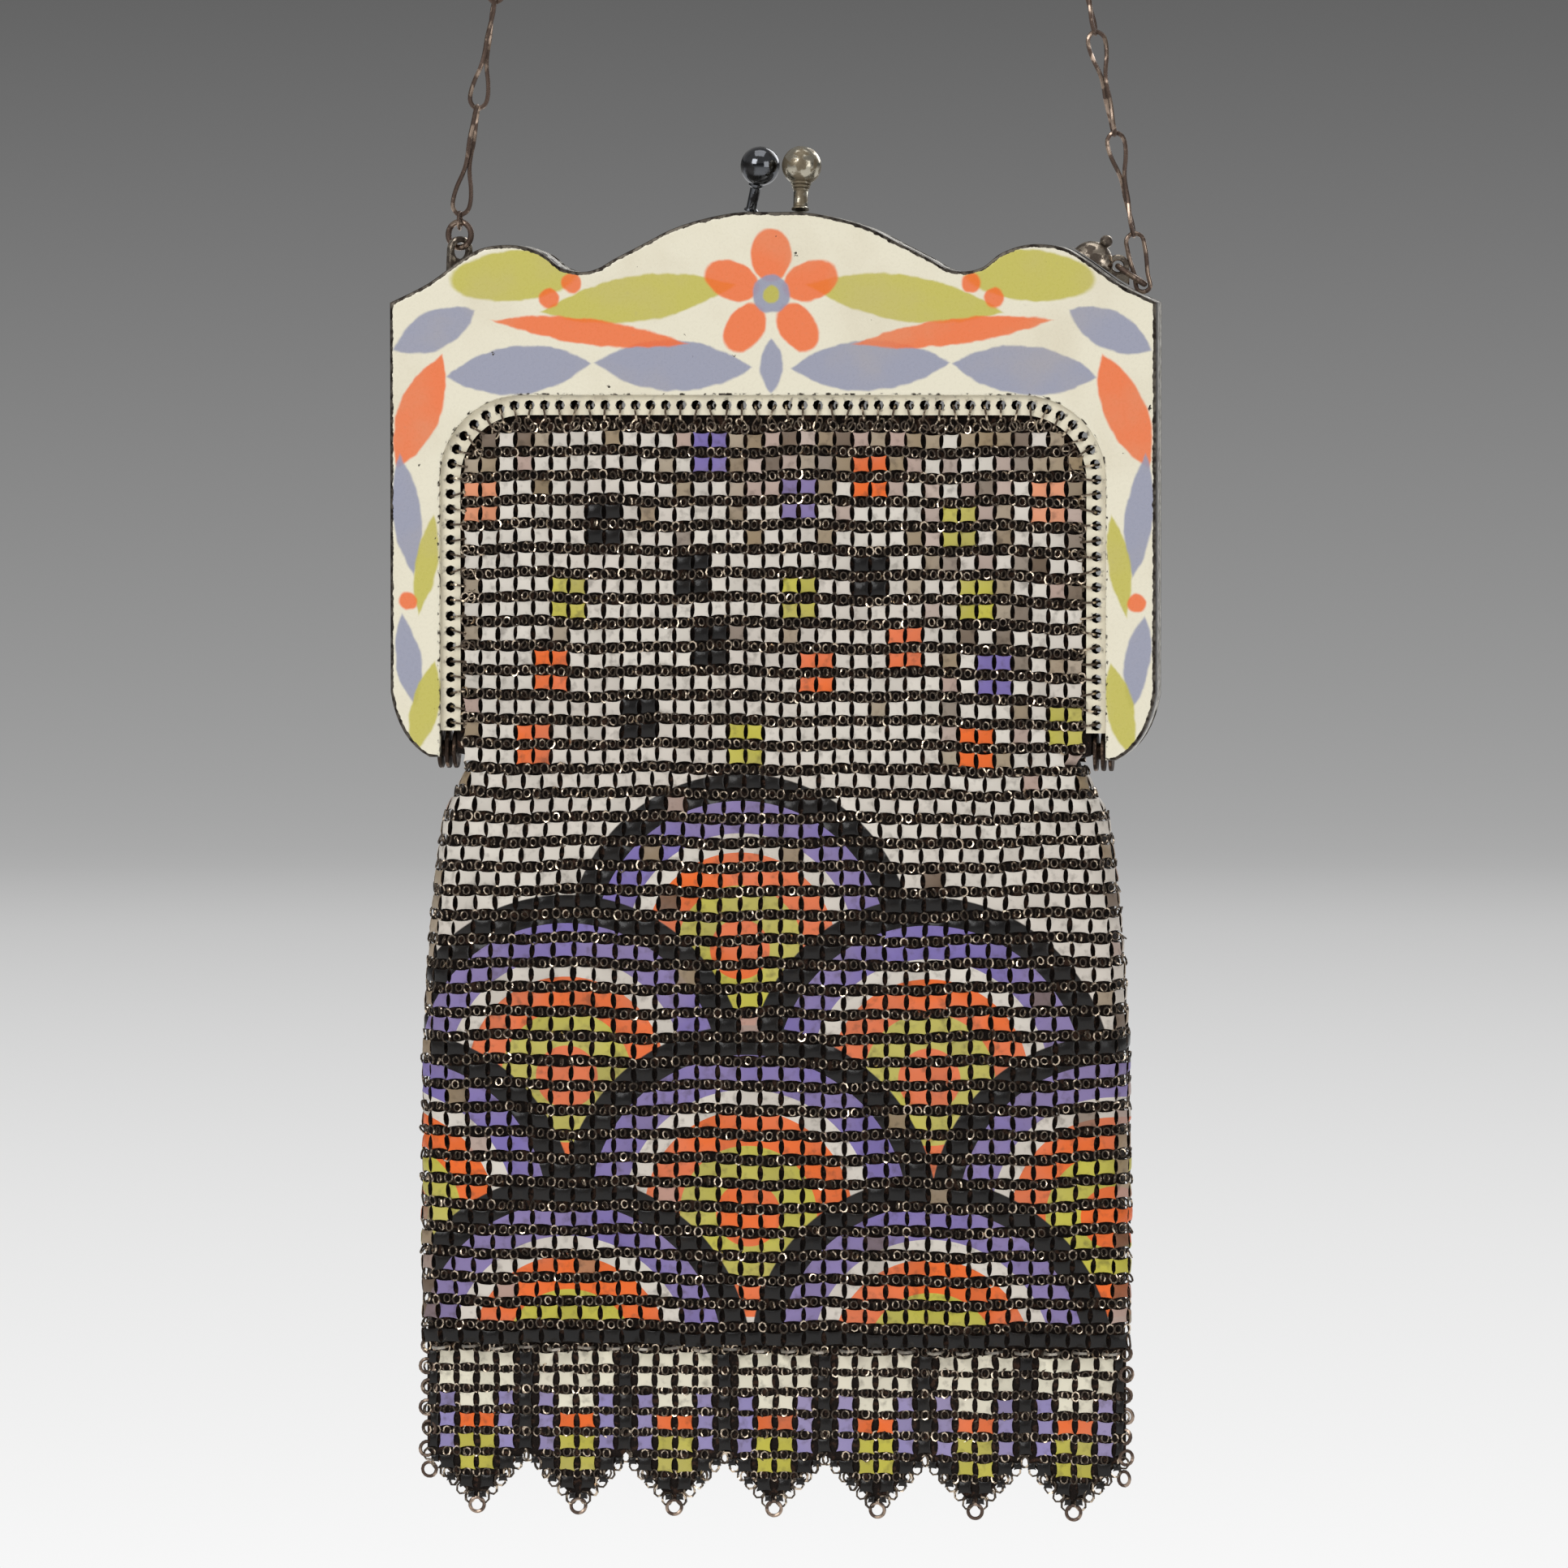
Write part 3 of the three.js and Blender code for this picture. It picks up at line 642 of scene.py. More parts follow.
def loft(
    rings: Sequence[Sequence[Sequence[float]]],
    round_way: bool,
    caps: bool,
    joined: bool = False,
) -> Shape:
    """Skins a row of rings with equal counts of points.

    Args:
        rings: The rings, each a list of points.
        round_way: Whether each ring is closed.
        caps: Whether the two end rings are filled.
        joined: Whether the last ring meets the first.

    Returns:
        The skin.
    """
    count = len(rings[0])
    shape = Shape([point for ring in rings for point in ring])
    pairs = len(rings) if joined else len(rings) - 1
    steps = count if round_way else count - 1
    for r in range(pairs):
        low, high = r * count, ((r + 1) % len(rings)) * count
        for i in range(steps):
            k = (i + 1) % count
            shape.faces.append((low + i, low + k, high + k, high + i))
    if caps:
        shape.faces.append(tuple(reversed(range(count))))
        shape.faces.append(tuple(range((len(rings) - 1) * count, len(rings) * count)))
    return shape


def turned(profile: Sequence[tuple[float, float]], foot: Vector, top: Vector, steps: int = 40) -> Shape:
    """A turned piece that stands at one point and leans towards another.

    Args:
        profile: Radius and height, from the foot to the top.
        foot: Where it stands.
        top: What it leans towards.
        steps: How many faces go round it.

    Returns:
        The closed shape.
    """
    lean = (top - foot).to_track_quat("Z", "Y")
    rings = []
    for radius, height in profile:
        angles = [2 * math.pi * i / steps for i in range(steps)]
        ring = [Vector((radius * math.cos(a), radius * math.sin(a), height)) for a in angles]
        rings.append([tuple(foot + lean @ point) for point in ring])
    return loft(rings, True, True)


def tube(path: Sequence[Vector], radius: float, sides: int) -> Shape:
    """A closed loop of round wire.

    Args:
        path: The points of its middle line.
        radius: Half the wire's thickness.
        sides: How many faces go round the wire.

    Returns:
        The closed shape.
    """
    count = len(path)
    ways = [(path[(i + 1) % count] - path[i - 1]).normalized() for i in range(count)]
    side = ways[0].orthogonal().normalized()
    sides_list = []
    for way in ways:
        side = (side - way * side.dot(way)).normalized()
        sides_list.append(side.copy())
    carried = (side - ways[0] * side.dot(ways[0])).normalized()
    other = ways[0].cross(sides_list[0])
    slip = math.atan2(carried.dot(other), carried.dot(sides_list[0]))
    rings = []
    for i, (point, way, across) in enumerate(zip(path, ways, sides_list)):
        deep = way.cross(across)
        ring = []
        for k in range(sides):
            angle = 2 * math.pi * k / sides - slip * i / count
            ring.append(tuple(point + (across * math.cos(angle) + deep * math.sin(angle)) * radius))
        rings.append(ring)
    return loft(rings, True, False, True)


def smooth_loop(points: Sequence[Vector], steps: int) -> list[Vector]:
    """A smooth closed curve through the given points.

    Args:
        points: The points, in order.
        steps: How many samples each stretch gets.

    Returns:
        The samples.
    """
    count = len(points)
    samples = []
    for i in range(count):
        before, start, end, after = (points[(i + k) % count] for k in (-1, 0, 1, 2))
        for step in range(steps):
            t = step / steps
            samples.append(catmull(before, start, end, after, t))
    return samples


def catmull(before: Vector, start: Vector, end: Vector, after: Vector, t: float) -> Vector:
    """A point on the smooth curve between start and end."""
    push = (end - before) * 0.5
    pull = (after - start) * 0.5
    square, cube = t * t, t * t * t
    first = start * (2 * cube - 3 * square + 1) + push * (cube - 2 * square + t)
    return first + end * (3 * square - 2 * cube) + pull * (cube - square)


def ring_path(centre: Vector, first: Vector, second: Vector, steps: int) -> list[Vector]:
    """An oval path round a centre, from its two half axes."""
    angles = [2 * math.pi * i / steps for i in range(steps)]
    return [centre + first * math.cos(a) + second * math.sin(a) for a in angles]


def make_mesh(name: str, shape: Shape, scale_only: bool, mark: str) -> bpy.types.Mesh:
    """Writes a shape into a mesh with outward faces.

    Args:
        name: The mesh's name.
        shape: The shape, in millimetres.
        scale_only: Whether the shape is only scaled to metres and isn't lowered to the shared frame.
        mark: The name that the shape's marks get as an attribute.

    Returns:
        The mesh.
    """
    mesh = bpy.data.meshes.new(name)
    points = [Vector(v) / 1000 if scale_only else place(v) for v in shape.vertices]
    mesh.from_pydata(points, [], shape.faces)
    if shape.marks:
        layer = mesh.attributes.new(mark, "FLOAT", "POINT")
        layer.data.foreach_set("value", shape.marks)
    work = bmesh.new()
    work.from_mesh(mesh)
    bmesh.ops.remove_doubles(work, verts=work.verts, dist=1e-7)
    bmesh.ops.recalc_face_normals(work, faces=work.faces)
    large = [face for face in work.faces if len(face.verts) > 4]
    bmesh.ops.triangulate(work, faces=large)
    work.to_mesh(mesh)
    work.free()
    mesh.shade_smooth()
    mesh.set_sharp_from_angle(angle=math.radians(38))
    return mesh


def make_piece(name: str, shape: Shape, material: bpy.types.Material, mark: str = "wear") -> bpy.types.Object:
    """Makes a visible piece from a shape.

    Args:
        name: The piece's name.
        shape: Its shape.
        material: Its finish.
        mark: The name of the attribute that its marks go to.

    Returns:
        The piece, at the origin, unturned and unscaled.
    """
    mesh = make_mesh(name, shape, False, mark)
    mesh.materials.append(material)
    piece = bpy.data.objects.new(name, mesh)
    bpy.context.collection.objects.link(piece)
    return piece


def settle(piece: bpy.types.Object, slot: str, *nodes: str) -> bpy.types.Object:
    """Ties a finished piece to the model and reports it.

    Args:
        piece: The piece.
        slot: The material slot of the record that it follows; not used.
        *nodes: The nodes that it stands for.

    Returns:
        The piece.
    """
    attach(piece, "root")
    for node in nodes:
        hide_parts(node)
    piece.data.calc_loop_triangles()
    log.info("%s: %d triangles", piece.name, len(piece.data.loop_triangles))
    return piece


# Repeats


@dataclass
class Places:
    """Where the copies of a repeated shape go, how each one stands and what colour it has."""

    points: list[Point] = field(default_factory=list)
    turns: list[Point] = field(default_factory=list)
    sizes: list[Point] = field(default_factory=list)
    tints: list[Colour] = field(default_factory=list)
    shades: list[float] = field(default_factory=list)

    def put(
        self,
        point: Vector,
        right: Vector,
        upward: Vector,
        size: Point = (1.0, 1.0, 1.0),
        tint: Colour = (1.0, 1.0, 1.0, 0.0),
        shade: float = 0.0,
    ) -> None:
        """Adds one copy.

        Args:
            point: Its place in millimetres.
            right: Where the shape's X points.
            upward: Roughly where its Y points.
            size: Its scale along its own axes.
            tint: Its colour, with the colour's share as alpha.
            shade: How dull it is, from 0 to 1.
        """
        x = right.normalized()
        z = x.cross(upward).normalized()
        y = z.cross(x)
        turn = Matrix((x, y, z)).transposed().to_euler()
        self.points.append(place(point))
        self.turns.append(tuple(turn))
        self.sizes.append(size)
        self.tints.append(tint)
        self.shades.append(shade)

    def mesh(self, name: str) -> bpy.types.Mesh:
        """The places as the vertices of a mesh with attributes."""
        mesh = bpy.data.meshes.new(name)
        mesh.from_pydata(self.points, [], [])
        for label, kind, key, rows in (
            ("turn", "FLOAT_VECTOR", "vector", self.turns),
            ("size", "FLOAT_VECTOR", "vector", self.sizes),
            ("tint", "FLOAT_COLOR", "color", self.tints),
            ("shade", "FLOAT", "value", self.shades),
        ):
            layer = mesh.attributes.new(label, kind, "POINT")
            layer.data.foreach_set(key, np.array(rows, dtype=np.float32).ravel())
        return mesh


class Repeater:
    """A Geometry Nodes tree that sets one shape at many places."""

    INPUTS = (
        ("Places", "NodeSocketGeometry"),
        ("Shape", "NodeSocketObject"),
        ("Tilt", "NodeSocketVector"),
        ("Seed", "NodeSocketInt"),
        ("Finish", "NodeSocketMaterial"),
    )

    def __init__(self) -> None:
        """Builds the tree."""
        self.tree = bpy.data.node_groups.new("repeat_shape", "GeometryNodeTree")
        for label, kind in self.INPUTS:
            self.tree.interface.new_socket(label, in_out="INPUT", socket_type=kind)
        self.tree.interface.new_socket("Result", in_out="OUTPUT", socket_type="NodeSocketGeometry")
        start = self.tree.nodes.new("NodeGroupInput")
        end = self.tree.nodes.new("NodeGroupOutput")
        shape = self._node("GeometryNodeObjectInfo", Object=start.outputs["Shape"])
        turn = self._node("GeometryNodeInputNamedAttribute", {"data_type": "FLOAT_VECTOR"}, Name="turn")
        size = self._node("GeometryNodeInputNamedAttribute", {"data_type": "FLOAT_VECTOR"}, Name="size")
        back = self._node("ShaderNodeVectorMath", {"operation": "SCALE"}, Scale=-1.0)
        self.tree.links.new(start.outputs["Tilt"], back.inputs[0])
        chance = self._node("FunctionNodeRandomValue", {"data_type": "FLOAT_VECTOR"})
        self.tree.links.new(back.outputs[0], chance.inputs[0])
        self.tree.links.new(start.outputs["Tilt"], chance.inputs[1])
        self.tree.links.new(start.outputs["Seed"], chance.inputs["Seed"])
        stand = self._node("FunctionNodeEulerToRotation", Euler=turn.outputs[0])
        sway = self._node("FunctionNodeEulerToRotation", Euler=chance.outputs[0])
        local = {"rotation_space": "LOCAL"}
        both = self._node("FunctionNodeRotateRotation", local, Rotation=stand.outputs[0])
        self.tree.links.new(sway.outputs[0], both.inputs["Rotate By"])
        copies = self._node(
            "GeometryNodeInstanceOnPoints",
            Points=start.outputs["Places"],
            Instance=shape.outputs["Geometry"],
            Rotation=both.outputs[0],
            Scale=size.outputs[0],
        )
        real = self._node("GeometryNodeRealizeInstances", Geometry=copies.outputs[0])
        dressed = self._node(
            "GeometryNodeSetMaterial", Geometry=real.outputs[0], Material=start.outputs["Finish"]
        )
        self.tree.links.new(dressed.outputs[0], end.inputs[0])

    def _node(self, kind: str, settings: dict[str, object] | None = None, **inputs: object) -> bpy.types.Node:
        """Adds a node to the tree.

        Args:
            kind: The node's type.
            settings: Its own settings.
            **inputs: What its sockets take, by name.

        Returns:
            The node.
        """
        made = self.tree.nodes.new(kind)
        for key, value in (settings or {}).items():
            setattr(made, key, value)
        for key, value in inputs.items():
            if isinstance(value, bpy.types.NodeSocket):
                self.tree.links.new(value, made.inputs[key])
            else:
                made.inputs[key].default_value = value
        return made

    def run(
        self,
        name: str,
        places: Places,
        shape: Shape,
        material: bpy.types.Material,
        tilt: Point = (0.0, 0.0, 0.0),
        seed: int = 1,
    ) -> bpy.types.Object:
        """Sets the shape at all its places and makes the result one plain mesh.

        Args:
            name: The piece's name.
            places: Where the copies go.
            shape: The repeated shape.
            material: The finish.
            tilt: The most that a copy leans at random about its own axes, in degrees.
            seed: The seed of that lean.

        Returns:
            The piece.
        """
        pattern = bpy.data.objects.new(name + "_shape", make_mesh(name + "_shape", shape, True, "face"))
        bearer = bpy.data.objects.new(name + "_places", places.mesh(name + "_places"))
        for item in (pattern, bearer):
            bpy.context.collection.objects.link(item)
        values = {
            "Shape": pattern,
            "Tilt": [math.radians(angle) for angle in tilt],
            "Seed": seed,
            "Finish": material,
        }
        modifier = bearer.modifiers.new("repeat", "NODES")
        modifier.node_group = self.tree
        for socket in self.tree.interface.items_tree:
            if socket.name in values:
                modifier[socket.identifier] = values[socket.name]
        graph = bpy.context.evaluated_depsgraph_get()
        mesh = bpy.data.meshes.new_from_object(bearer.evaluated_get(graph))
        bearer.modifiers.remove(modifier)
        for item in (pattern, bearer):
            bpy.data.objects.remove(item)
        mesh.name = name
        if not mesh.materials:
            mesh.materials.append(material)
        piece = bpy.data.objects.new(name, mesh)
        bpy.context.collection.objects.link(piece)
        return piece


# The frame


@dataclass
class FrameOutline:
    """The edges of the frame as seen from the front."""

    width: float = 101.2
    height: float = 71.7
    foot_corner: float = 8.5
    foot_inset: float = 5.2
    leg: float = 6.6
    opening_height: float = 47.7
    opening_radius: float = 11.0
    crest_rows: tuple[tuple[float, float], ...] = (
        (0.0, 1.0),
        (0.09, 0.999),
        (0.18, 0.987),
        (0.26, 0.969),
        (0.335, 0.942),
        (0.41, 0.915),
        (0.455, 0.897),
        (0.5, 0.891),
        (0.55, 0.899),
        (0.6, 0.925),
        (0.67, 0.94),
        (0.75, 0.936),
        (0.81, 0.915),
        (0.9, 0.87),
        (1.0, 0.835),
    )

    @property
    def half(self) -> float:
        """Half the frame's width."""
        return self.width / 2

    @property
    def opening_half(self) -> float:
        """Half the opening's width."""
        return self.half - self.leg

    def crest(self, steps: int = 7) -> list[Vector]:
        """The crest from the left shoulder to the right one."""
        right = [Vector((out * self.half, up * self.height)) for out, up in self.crest_rows]
        left = [Vector((-point.x, point.y)) for point in reversed(right[1:])]
        points = left + right
        last = len(points) - 1
        line = []
        for i in range(last):
            around = (points[max(i - 1, 0)], points[i], points[i + 1], points[min(i + 2, last)])
            line.extend(catmull(*around, step / steps) for step in range(steps))
        return line + [points[-1]]

    def outer(self) -> list[Vector]:
        """The outer edge from the left foot over the crest to the right foot."""
        start = Vector((self.half, self.foot_corner))
        bend = Vector((self.half - 0.2 * self.foot_inset, 0.25 * self.foot_corner))
        end = Vector((self.half - self.foot_inset, 0.0))
        corner = []
        for i in range(9):
            t = i / 8
            corner.append(start * (1 - t) ** 2 + bend * (2 * t * (1 - t)) + end * t**2)
        straight = [Vector((self.half, self.height * 0.835 - k)) for k in (0.6, 8.0, 24.0, 40.0)]
        right = straight + corner
        left = [Vector((-point.x, point.y)) for point in reversed(right)]
        return left + self.crest() + right

    def arch(self, inset: float, foot: float, steps: int = 10) -> list[Vector]:
        """The opening's edge, moved into the opening, from the left foot to the right one.

        Args:
            inset: How far it is moved.
            foot: The height at which it starts.
            steps: How many stretches each round corner has.

        Returns:
            The points.
        """
        half = self.opening_half - inset
        top = self.opening_height - inset
        radius = self.opening_radius - inset
        angles = [math.pi / 2 * i / steps for i in range(steps + 1)]
        left = [
            Vector((radius - half - radius * math.cos(a), top - radius + radius * math.sin(a)))
            for a in angles
        ]
        right = [Vector((-point.x, point.y)) for point in reversed(left)]
        sides = [Vector((half, foot + (top - radius - foot) * k / 3)) for k in (2, 1, 0)]
        return [Vector((-p.x, p.y)) for p in reversed(sides)] + left + right + sides

    def shoulder(self, x: float) -> float:
        """The height of the crest at a distance from the middle."""
        points = self.crest()
        right = points[len(points) // 2 :]
        return float(np.interp(abs(x), [p.x for p in right], [p.y for p in right]))


def inset_line(points: Sequence[Vector], distance: float, closed: bool) -> list[Vector]:
    """Moves a line to the right of its way, which is into the frame's metal.

    Args:
        points: The line.
        distance: How far it moves.
        closed: Whether its end meets its start.

    Returns:
        The moved line.
    """
    count = len(points)
    moved = []
    for i, point in enumerate(points):
        before = points[i - 1] if closed or i else points[0]
        after = points[(i + 1) % count] if closed or i < count - 1 else points[-1]
        ways = [way.normalized() for way in (point - before, after - point) if way.length > 1e-6]
        normals = [Vector((way.y, -way.x)) for way in ways]
        mean = sum(normals, Vector((0.0, 0.0))).normalized()
        stretch = 1 / max(mean.dot(normals[0]), 0.55)
        moved.append(point + mean * distance * stretch)
    return moved


@dataclass
class EnamelledFrame:
    """The two halves of the frame: a plate with a rim turned towards the other half."""

    outline: FrameOutline
    face: float = 4.5
    thickness: float = 0.8
    gap: float = 0.6
    finish: FrameEnamel = FrameEnamel()

    def _plate(self, side: Side) -> Shape:
        """One plate with a soft edge all round."""
        opening = self.outline.arch(0.0, 0.0)
        edge = self.outline.outer()
        border = edge + list(reversed(opening))
        rows = (
            (0.0, self.face - self.thickness, 1.0),
            (0.0, self.face - 0.3, 1.0),
            (0.07, self.face - 0.1, 1.0),
            (0.24, self.face, 1.0),
            (0.8, self.face, 0.0),
        )
        rings = []
        marks: list[float] = []
        for inset, depth, worn in rows:
            line = inset_line(border, inset, True)
            rings.append([(p.x, side.value * depth, p.y) for p in line])
            marks.extend([worn] * len(edge) + [0.6 * worn] * len(opening))
        shape = loft(rings, True, True)
        shape.marks = marks
        return shape

    def _rim(self, side: Side) -> Shape:
        """The wall that runs back from the plate's outer edge."""
        edge = self.outline.outer()
        near, far = self.gap / 2, self.face - self.thickness
        soft, wall = 0.12, 0.8
        section = (
            (soft, near),
            (0.0, near + soft),
            (0.0, far),
            (wall, far),
            (wall, near + soft),
            (wall - soft, near),
        )
        lines = [(inset_line(edge, inset, False), depth) for inset, depth in section]
        rings = []
        for i in range(len(edge)):
            rings.append([(line[i].x, side.value * depth, line[i].y) for line, depth in lines])
        shape = loft(rings, True, True)
        shape.marks = [2.0] * len(shape.vertices)
        return shape

    def build(self) -> None:
        """Makes both halves."""
        for side in Side:
            node = "frame_" + side.name.lower()
            shape = self._plate(side).add(self._rim(side))
            settle(make_piece(node + "_enamelled", shape, self.finish.material()), "frame_enamel", node)


@dataclass
class PiercedRails:
    """The pierced strips inside the opening, with a wire ring through each hole."""

    outline: FrameOutline
    repeater: Repeater
    width: float = 2.6
    tuck: float = 0.9
    face: float = 3.4
    thickness: float = 0.7
    foot: float = 3.5
    hole_radius: float = 0.68
    pitch: float = 2.0
    ring_reach: float = 1.1
    ring_depth: float = 0.75
    ring_wire: float = 0.19

    def _line(self) -> tuple[np.ndarray, np.ndarray]:
        """The holes' line, finely sampled, and its running length."""
        inset = self.width / 2
        points = self.outline.arch(inset, self.foot, 40)
        line = np.array([(p.x, p.y) for p in points])
        steps = np.hypot(*np.diff(line, axis=0).T)
        return line, np.concatenate([[0.0], np.cumsum(steps)])

    def _station(self, along: float) -> tuple[Vector, Vector]:
        """The point and the inward way at a length along the line."""
        line, run = self._line_cache
        spot = [np.interp(along, run, line[:, k]) for k in (0, 1)]
        ahead = [np.interp(along + 0.2, run, line[:, k]) for k in (0, 1)]
        behind = [np.interp(along - 0.2, run, line[:, k]) for k in (0, 1)]
        way = Vector((ahead[0] - behind[0], ahead[1] - behind[1])).normalized()
        return Vector(spot), Vector((way.y, -way.x))

    def _cell(self, centre: float, step: float, side: Side, first: bool, last: bool) -> Shape:
        """One stretch of the strip with its hole.

        Args:
            centre: Where its hole is along the line.
            step: The length of the stretch.
            side: The face of the purse.
            first: Whether the strip starts here.
            last: Whether it ends here.

        Returns:
            The stretch.
        """
        half = step / 2
        inner, outer = self.width / 2, -(self.width / 2 + self.tuck)
        corners = ((half, 0), (half, inner), (0, inner), (-half, inner), (-half, 0), (-half, outer),
                   (0, outer), (half, outer))
        radius = self.hole_radius
        holes = [(radius * math.cos(i * math.pi / 4), radius * math.sin(i * math.pi / 4)) for i in range(8)]

        def spot(along: float, inward: float, depth: float) -> Point:
            """A point of the strip."""
            base, way = self._station(centre + along)
            point = base + way * inward
            return (point.x, side.value * depth, point.y)

        near, far = self.face - self.thickness, self.face
        rings = [
            [spot(a, n, near) for a, n in holes],
            [spot(a, n, near) for a, n in corners],
            [spot(a, n, far) for a, n in corners],
            [spot(a, n, far) for a, n in holes],
        ]
        shape = loft(rings, True, False, True)
        # The marks: high on the back face, so the hole walls and side walls get painted shade deeper in;
        # middling at the hole rims, for rubbing.
        shape.marks = [1.2] * 16 + [0.15] * 8 + [0.6] * 8
        walls = [] if first else [3, 4]
        walls += [] if last else [7, 0]
        drop = {(8 + i, 8 + (i + 1) % 8, 16 + (i + 1) % 8, 16 + i) for i in walls}
        shape.faces = [face for face in shape.faces if face not in drop]
        return shape

    def build(self) -> None:
        """Makes both strips and their rings."""
        self._line_cache = self._line()
        length = float(self._line_cache[1][-1])
        count = round(length / self.pitch)
        step = length / count
        enamel = StripEnamel().material()
        ring = tube(
            ring_path(Vector(), Vector((self.ring_reach, 0, 0)), Vector((0, self.ring_depth, 0)), 12),
            self.ring_wire,
            4,
        )
        for side in Side:
            shape = Shape()
            places = Places()
            for i in range(count):
                along = (i + 0.5) * step
                shape.add(self._cell(along, step, side, i == 0, i == count - 1))
                spot, inward = self._station(along)
                lean = 0.25 * math.sin(2.4 * i)
                way = Vector((inward.x, 0.0, inward.y))
                centre = Vector((spot.x, side.value * (self.face - 0.35), spot.y)) + way * 1.05
                turn = Matrix.Rotation(lean, 3, "Y")
                places.put(centre, turn @ way, Vector((0, 1, 0)))
                across = Vector((way.z, 0.0, -way.x))
                spread = Matrix.Rotation((0.6 if i % 2 else -0.6) + 0.15 * math.sin(5.1 * i), 3, "Y")
                low = Vector((spot.x, side.value * (self.face - 0.15), spot.y)) + way * 2.5
                places.put(low, spread @ way, across, (0.85, 0.62, 0.85))
            node = "rail_" + side.name.lower()
            settle(make_piece(node + "_strip", shape, enamel), "rail_metal", node)
            rings = self.repeater.run(node + "_rings", places, ring, RAIL_RING.material(), (6, 6, 6), 4)
            settle(rings, "rail_metal", node)


# The mesh


@dataclass
class BagForm:
    """The surface that the mesh lies on: two panels inside the frame and one flat tube below it."""

    panel_half: float = 41.1
    panel_top: float = 44.8
    panel_radius: float = 8.1
    panel_face: float = 3.55
    width: float = 94.4
    length: float = 77.3
    depth: float = 11.0
    hem_depth: float = 4.0
    columns_round: int = 72
    rows: tuple[tuple[float, float, float], ...] = (
        (0.0, 0.0, 0.0),
        (0.03, 0.08, 0.1),
        (0.1, 0.52, 0.4),
        (0.2, 0.7, 0.8),
        (0.34, 0.86, 1.0),
        (0.5, 0.97, 1.0),
        (0.74, 1.0, 0.8),
        (0.9, 1.0, 0.4),
        (1.0, 1.0, 0.0),
    )
    folds: tuple[tuple[float, float, float, float, float], ...] = (
        (-0.74, 0.1, -0.02, 0.55, 0.16),
        (-0.2, 0.3, 0.1, 1.0, 0.08),
        (0.35, 0.25, -0.4, 0.4, 0.1),
        (0.72, 0.16, -0.3, 0.95, 0.14),
    )

    def half_width(self, up: float) -> float:
        """Half the bag's width at a height."""
        if up > self.panel_top - self.panel_radius:
            drop = min(max((self.panel_top - up) / self.panel_radius, 0.0), 1.0)
            reach = math.sqrt(max(1 - (1 - drop) ** 2, 0.0))
            return self.panel_half - self.panel_radius * (1 - reach)
        down = max(-up / self.length, 0.0)
        flare = float(np.interp(down, [r[0] for r in self.rows], [r[1] for r in self.rows]))
        return self.panel_half + flare * (self.width / 2 - self.panel_half)

    def half_depth(self, up: float) -> float:
        """Half the bag's depth at a height."""
        down = max(-up / self.length, 0.0)
        swell = float(np.interp(down, [r[0] for r in self.rows], [r[2] for r in self.rows]))
        ease = min(down / 0.5, 1.0)
        ending = self.panel_face + (self.hem_depth / 2 - self.panel_face) * ease
        return ending + swell * (self.depth / 2 - ending)

    def pitch(self, up: float) -> float:
        """The distance from one column to the next at a height."""
        panel = 2 * self.panel_half / (self.columns_round / 2 - 1)
        if up > 0:
            return panel
        half, deep = self.half_width(up), self.half_depth(up)
        return (4 * (half - deep) + 2 * math.pi * deep) / self.columns_round

    def fold(self, x: float, up: float) -> float:
        """How far the folds move the mesh outwards at a place."""
        total = 0.0
        for at, wide, top, bottom, deep in self.folds:
            across = (x / (self.width / 2) - at) / wide
            along = (-up / self.length - (top + bottom) / 2) / ((bottom - top) / 2)
            total += deep * max(0.0, 1 - along * along) * self.depth / 2 * math.exp(-across * across)
        return total

    def spot(self, along: float, up: float, side: Side, lift: float = 0.0) -> Vector:
        """A point of the mesh.

        Args:
            along: The way round from the middle of this face, positive towards positive X.
            up: The height.
            side: The face of the purse.
            lift: How far the point lies outside the form.

        Returns:
            The point in millimetres.
        """
        deep = self.half_depth(up) + lift
        flat = self.half_width(up) - self.half_depth(up)
        away = abs(along) - flat
        way = math.copysign(1.0, along)
        if up > 0 or away <= 0:
            return Vector((along, side.value * (deep + self.fold(along, up)), up))
        angle = away / self.half_depth(up)
        x = flat + deep * math.sin(angle)
        y = deep * math.cos(angle) + self.fold(x, up) * math.cos(angle)
        return Vector((way * x, side.value * y, up))

    def axes(self, along: float, up: float, side: Side) -> tuple[Vector, Vector, Vector]:
        """The ways to the right, up and out at a point of the mesh."""
        step = 0.4
        right = self.spot(along + step, up, side) - self.spot(along - step, up, side)
        rise = self.spot(along, up + step, side) - self.spot(along, up - step, side)
        out = right.cross(rise).normalized() * side.value
        if out.y * side.value < -0.2:
            out = -out
        return right.normalized(), rise.normalized(), out


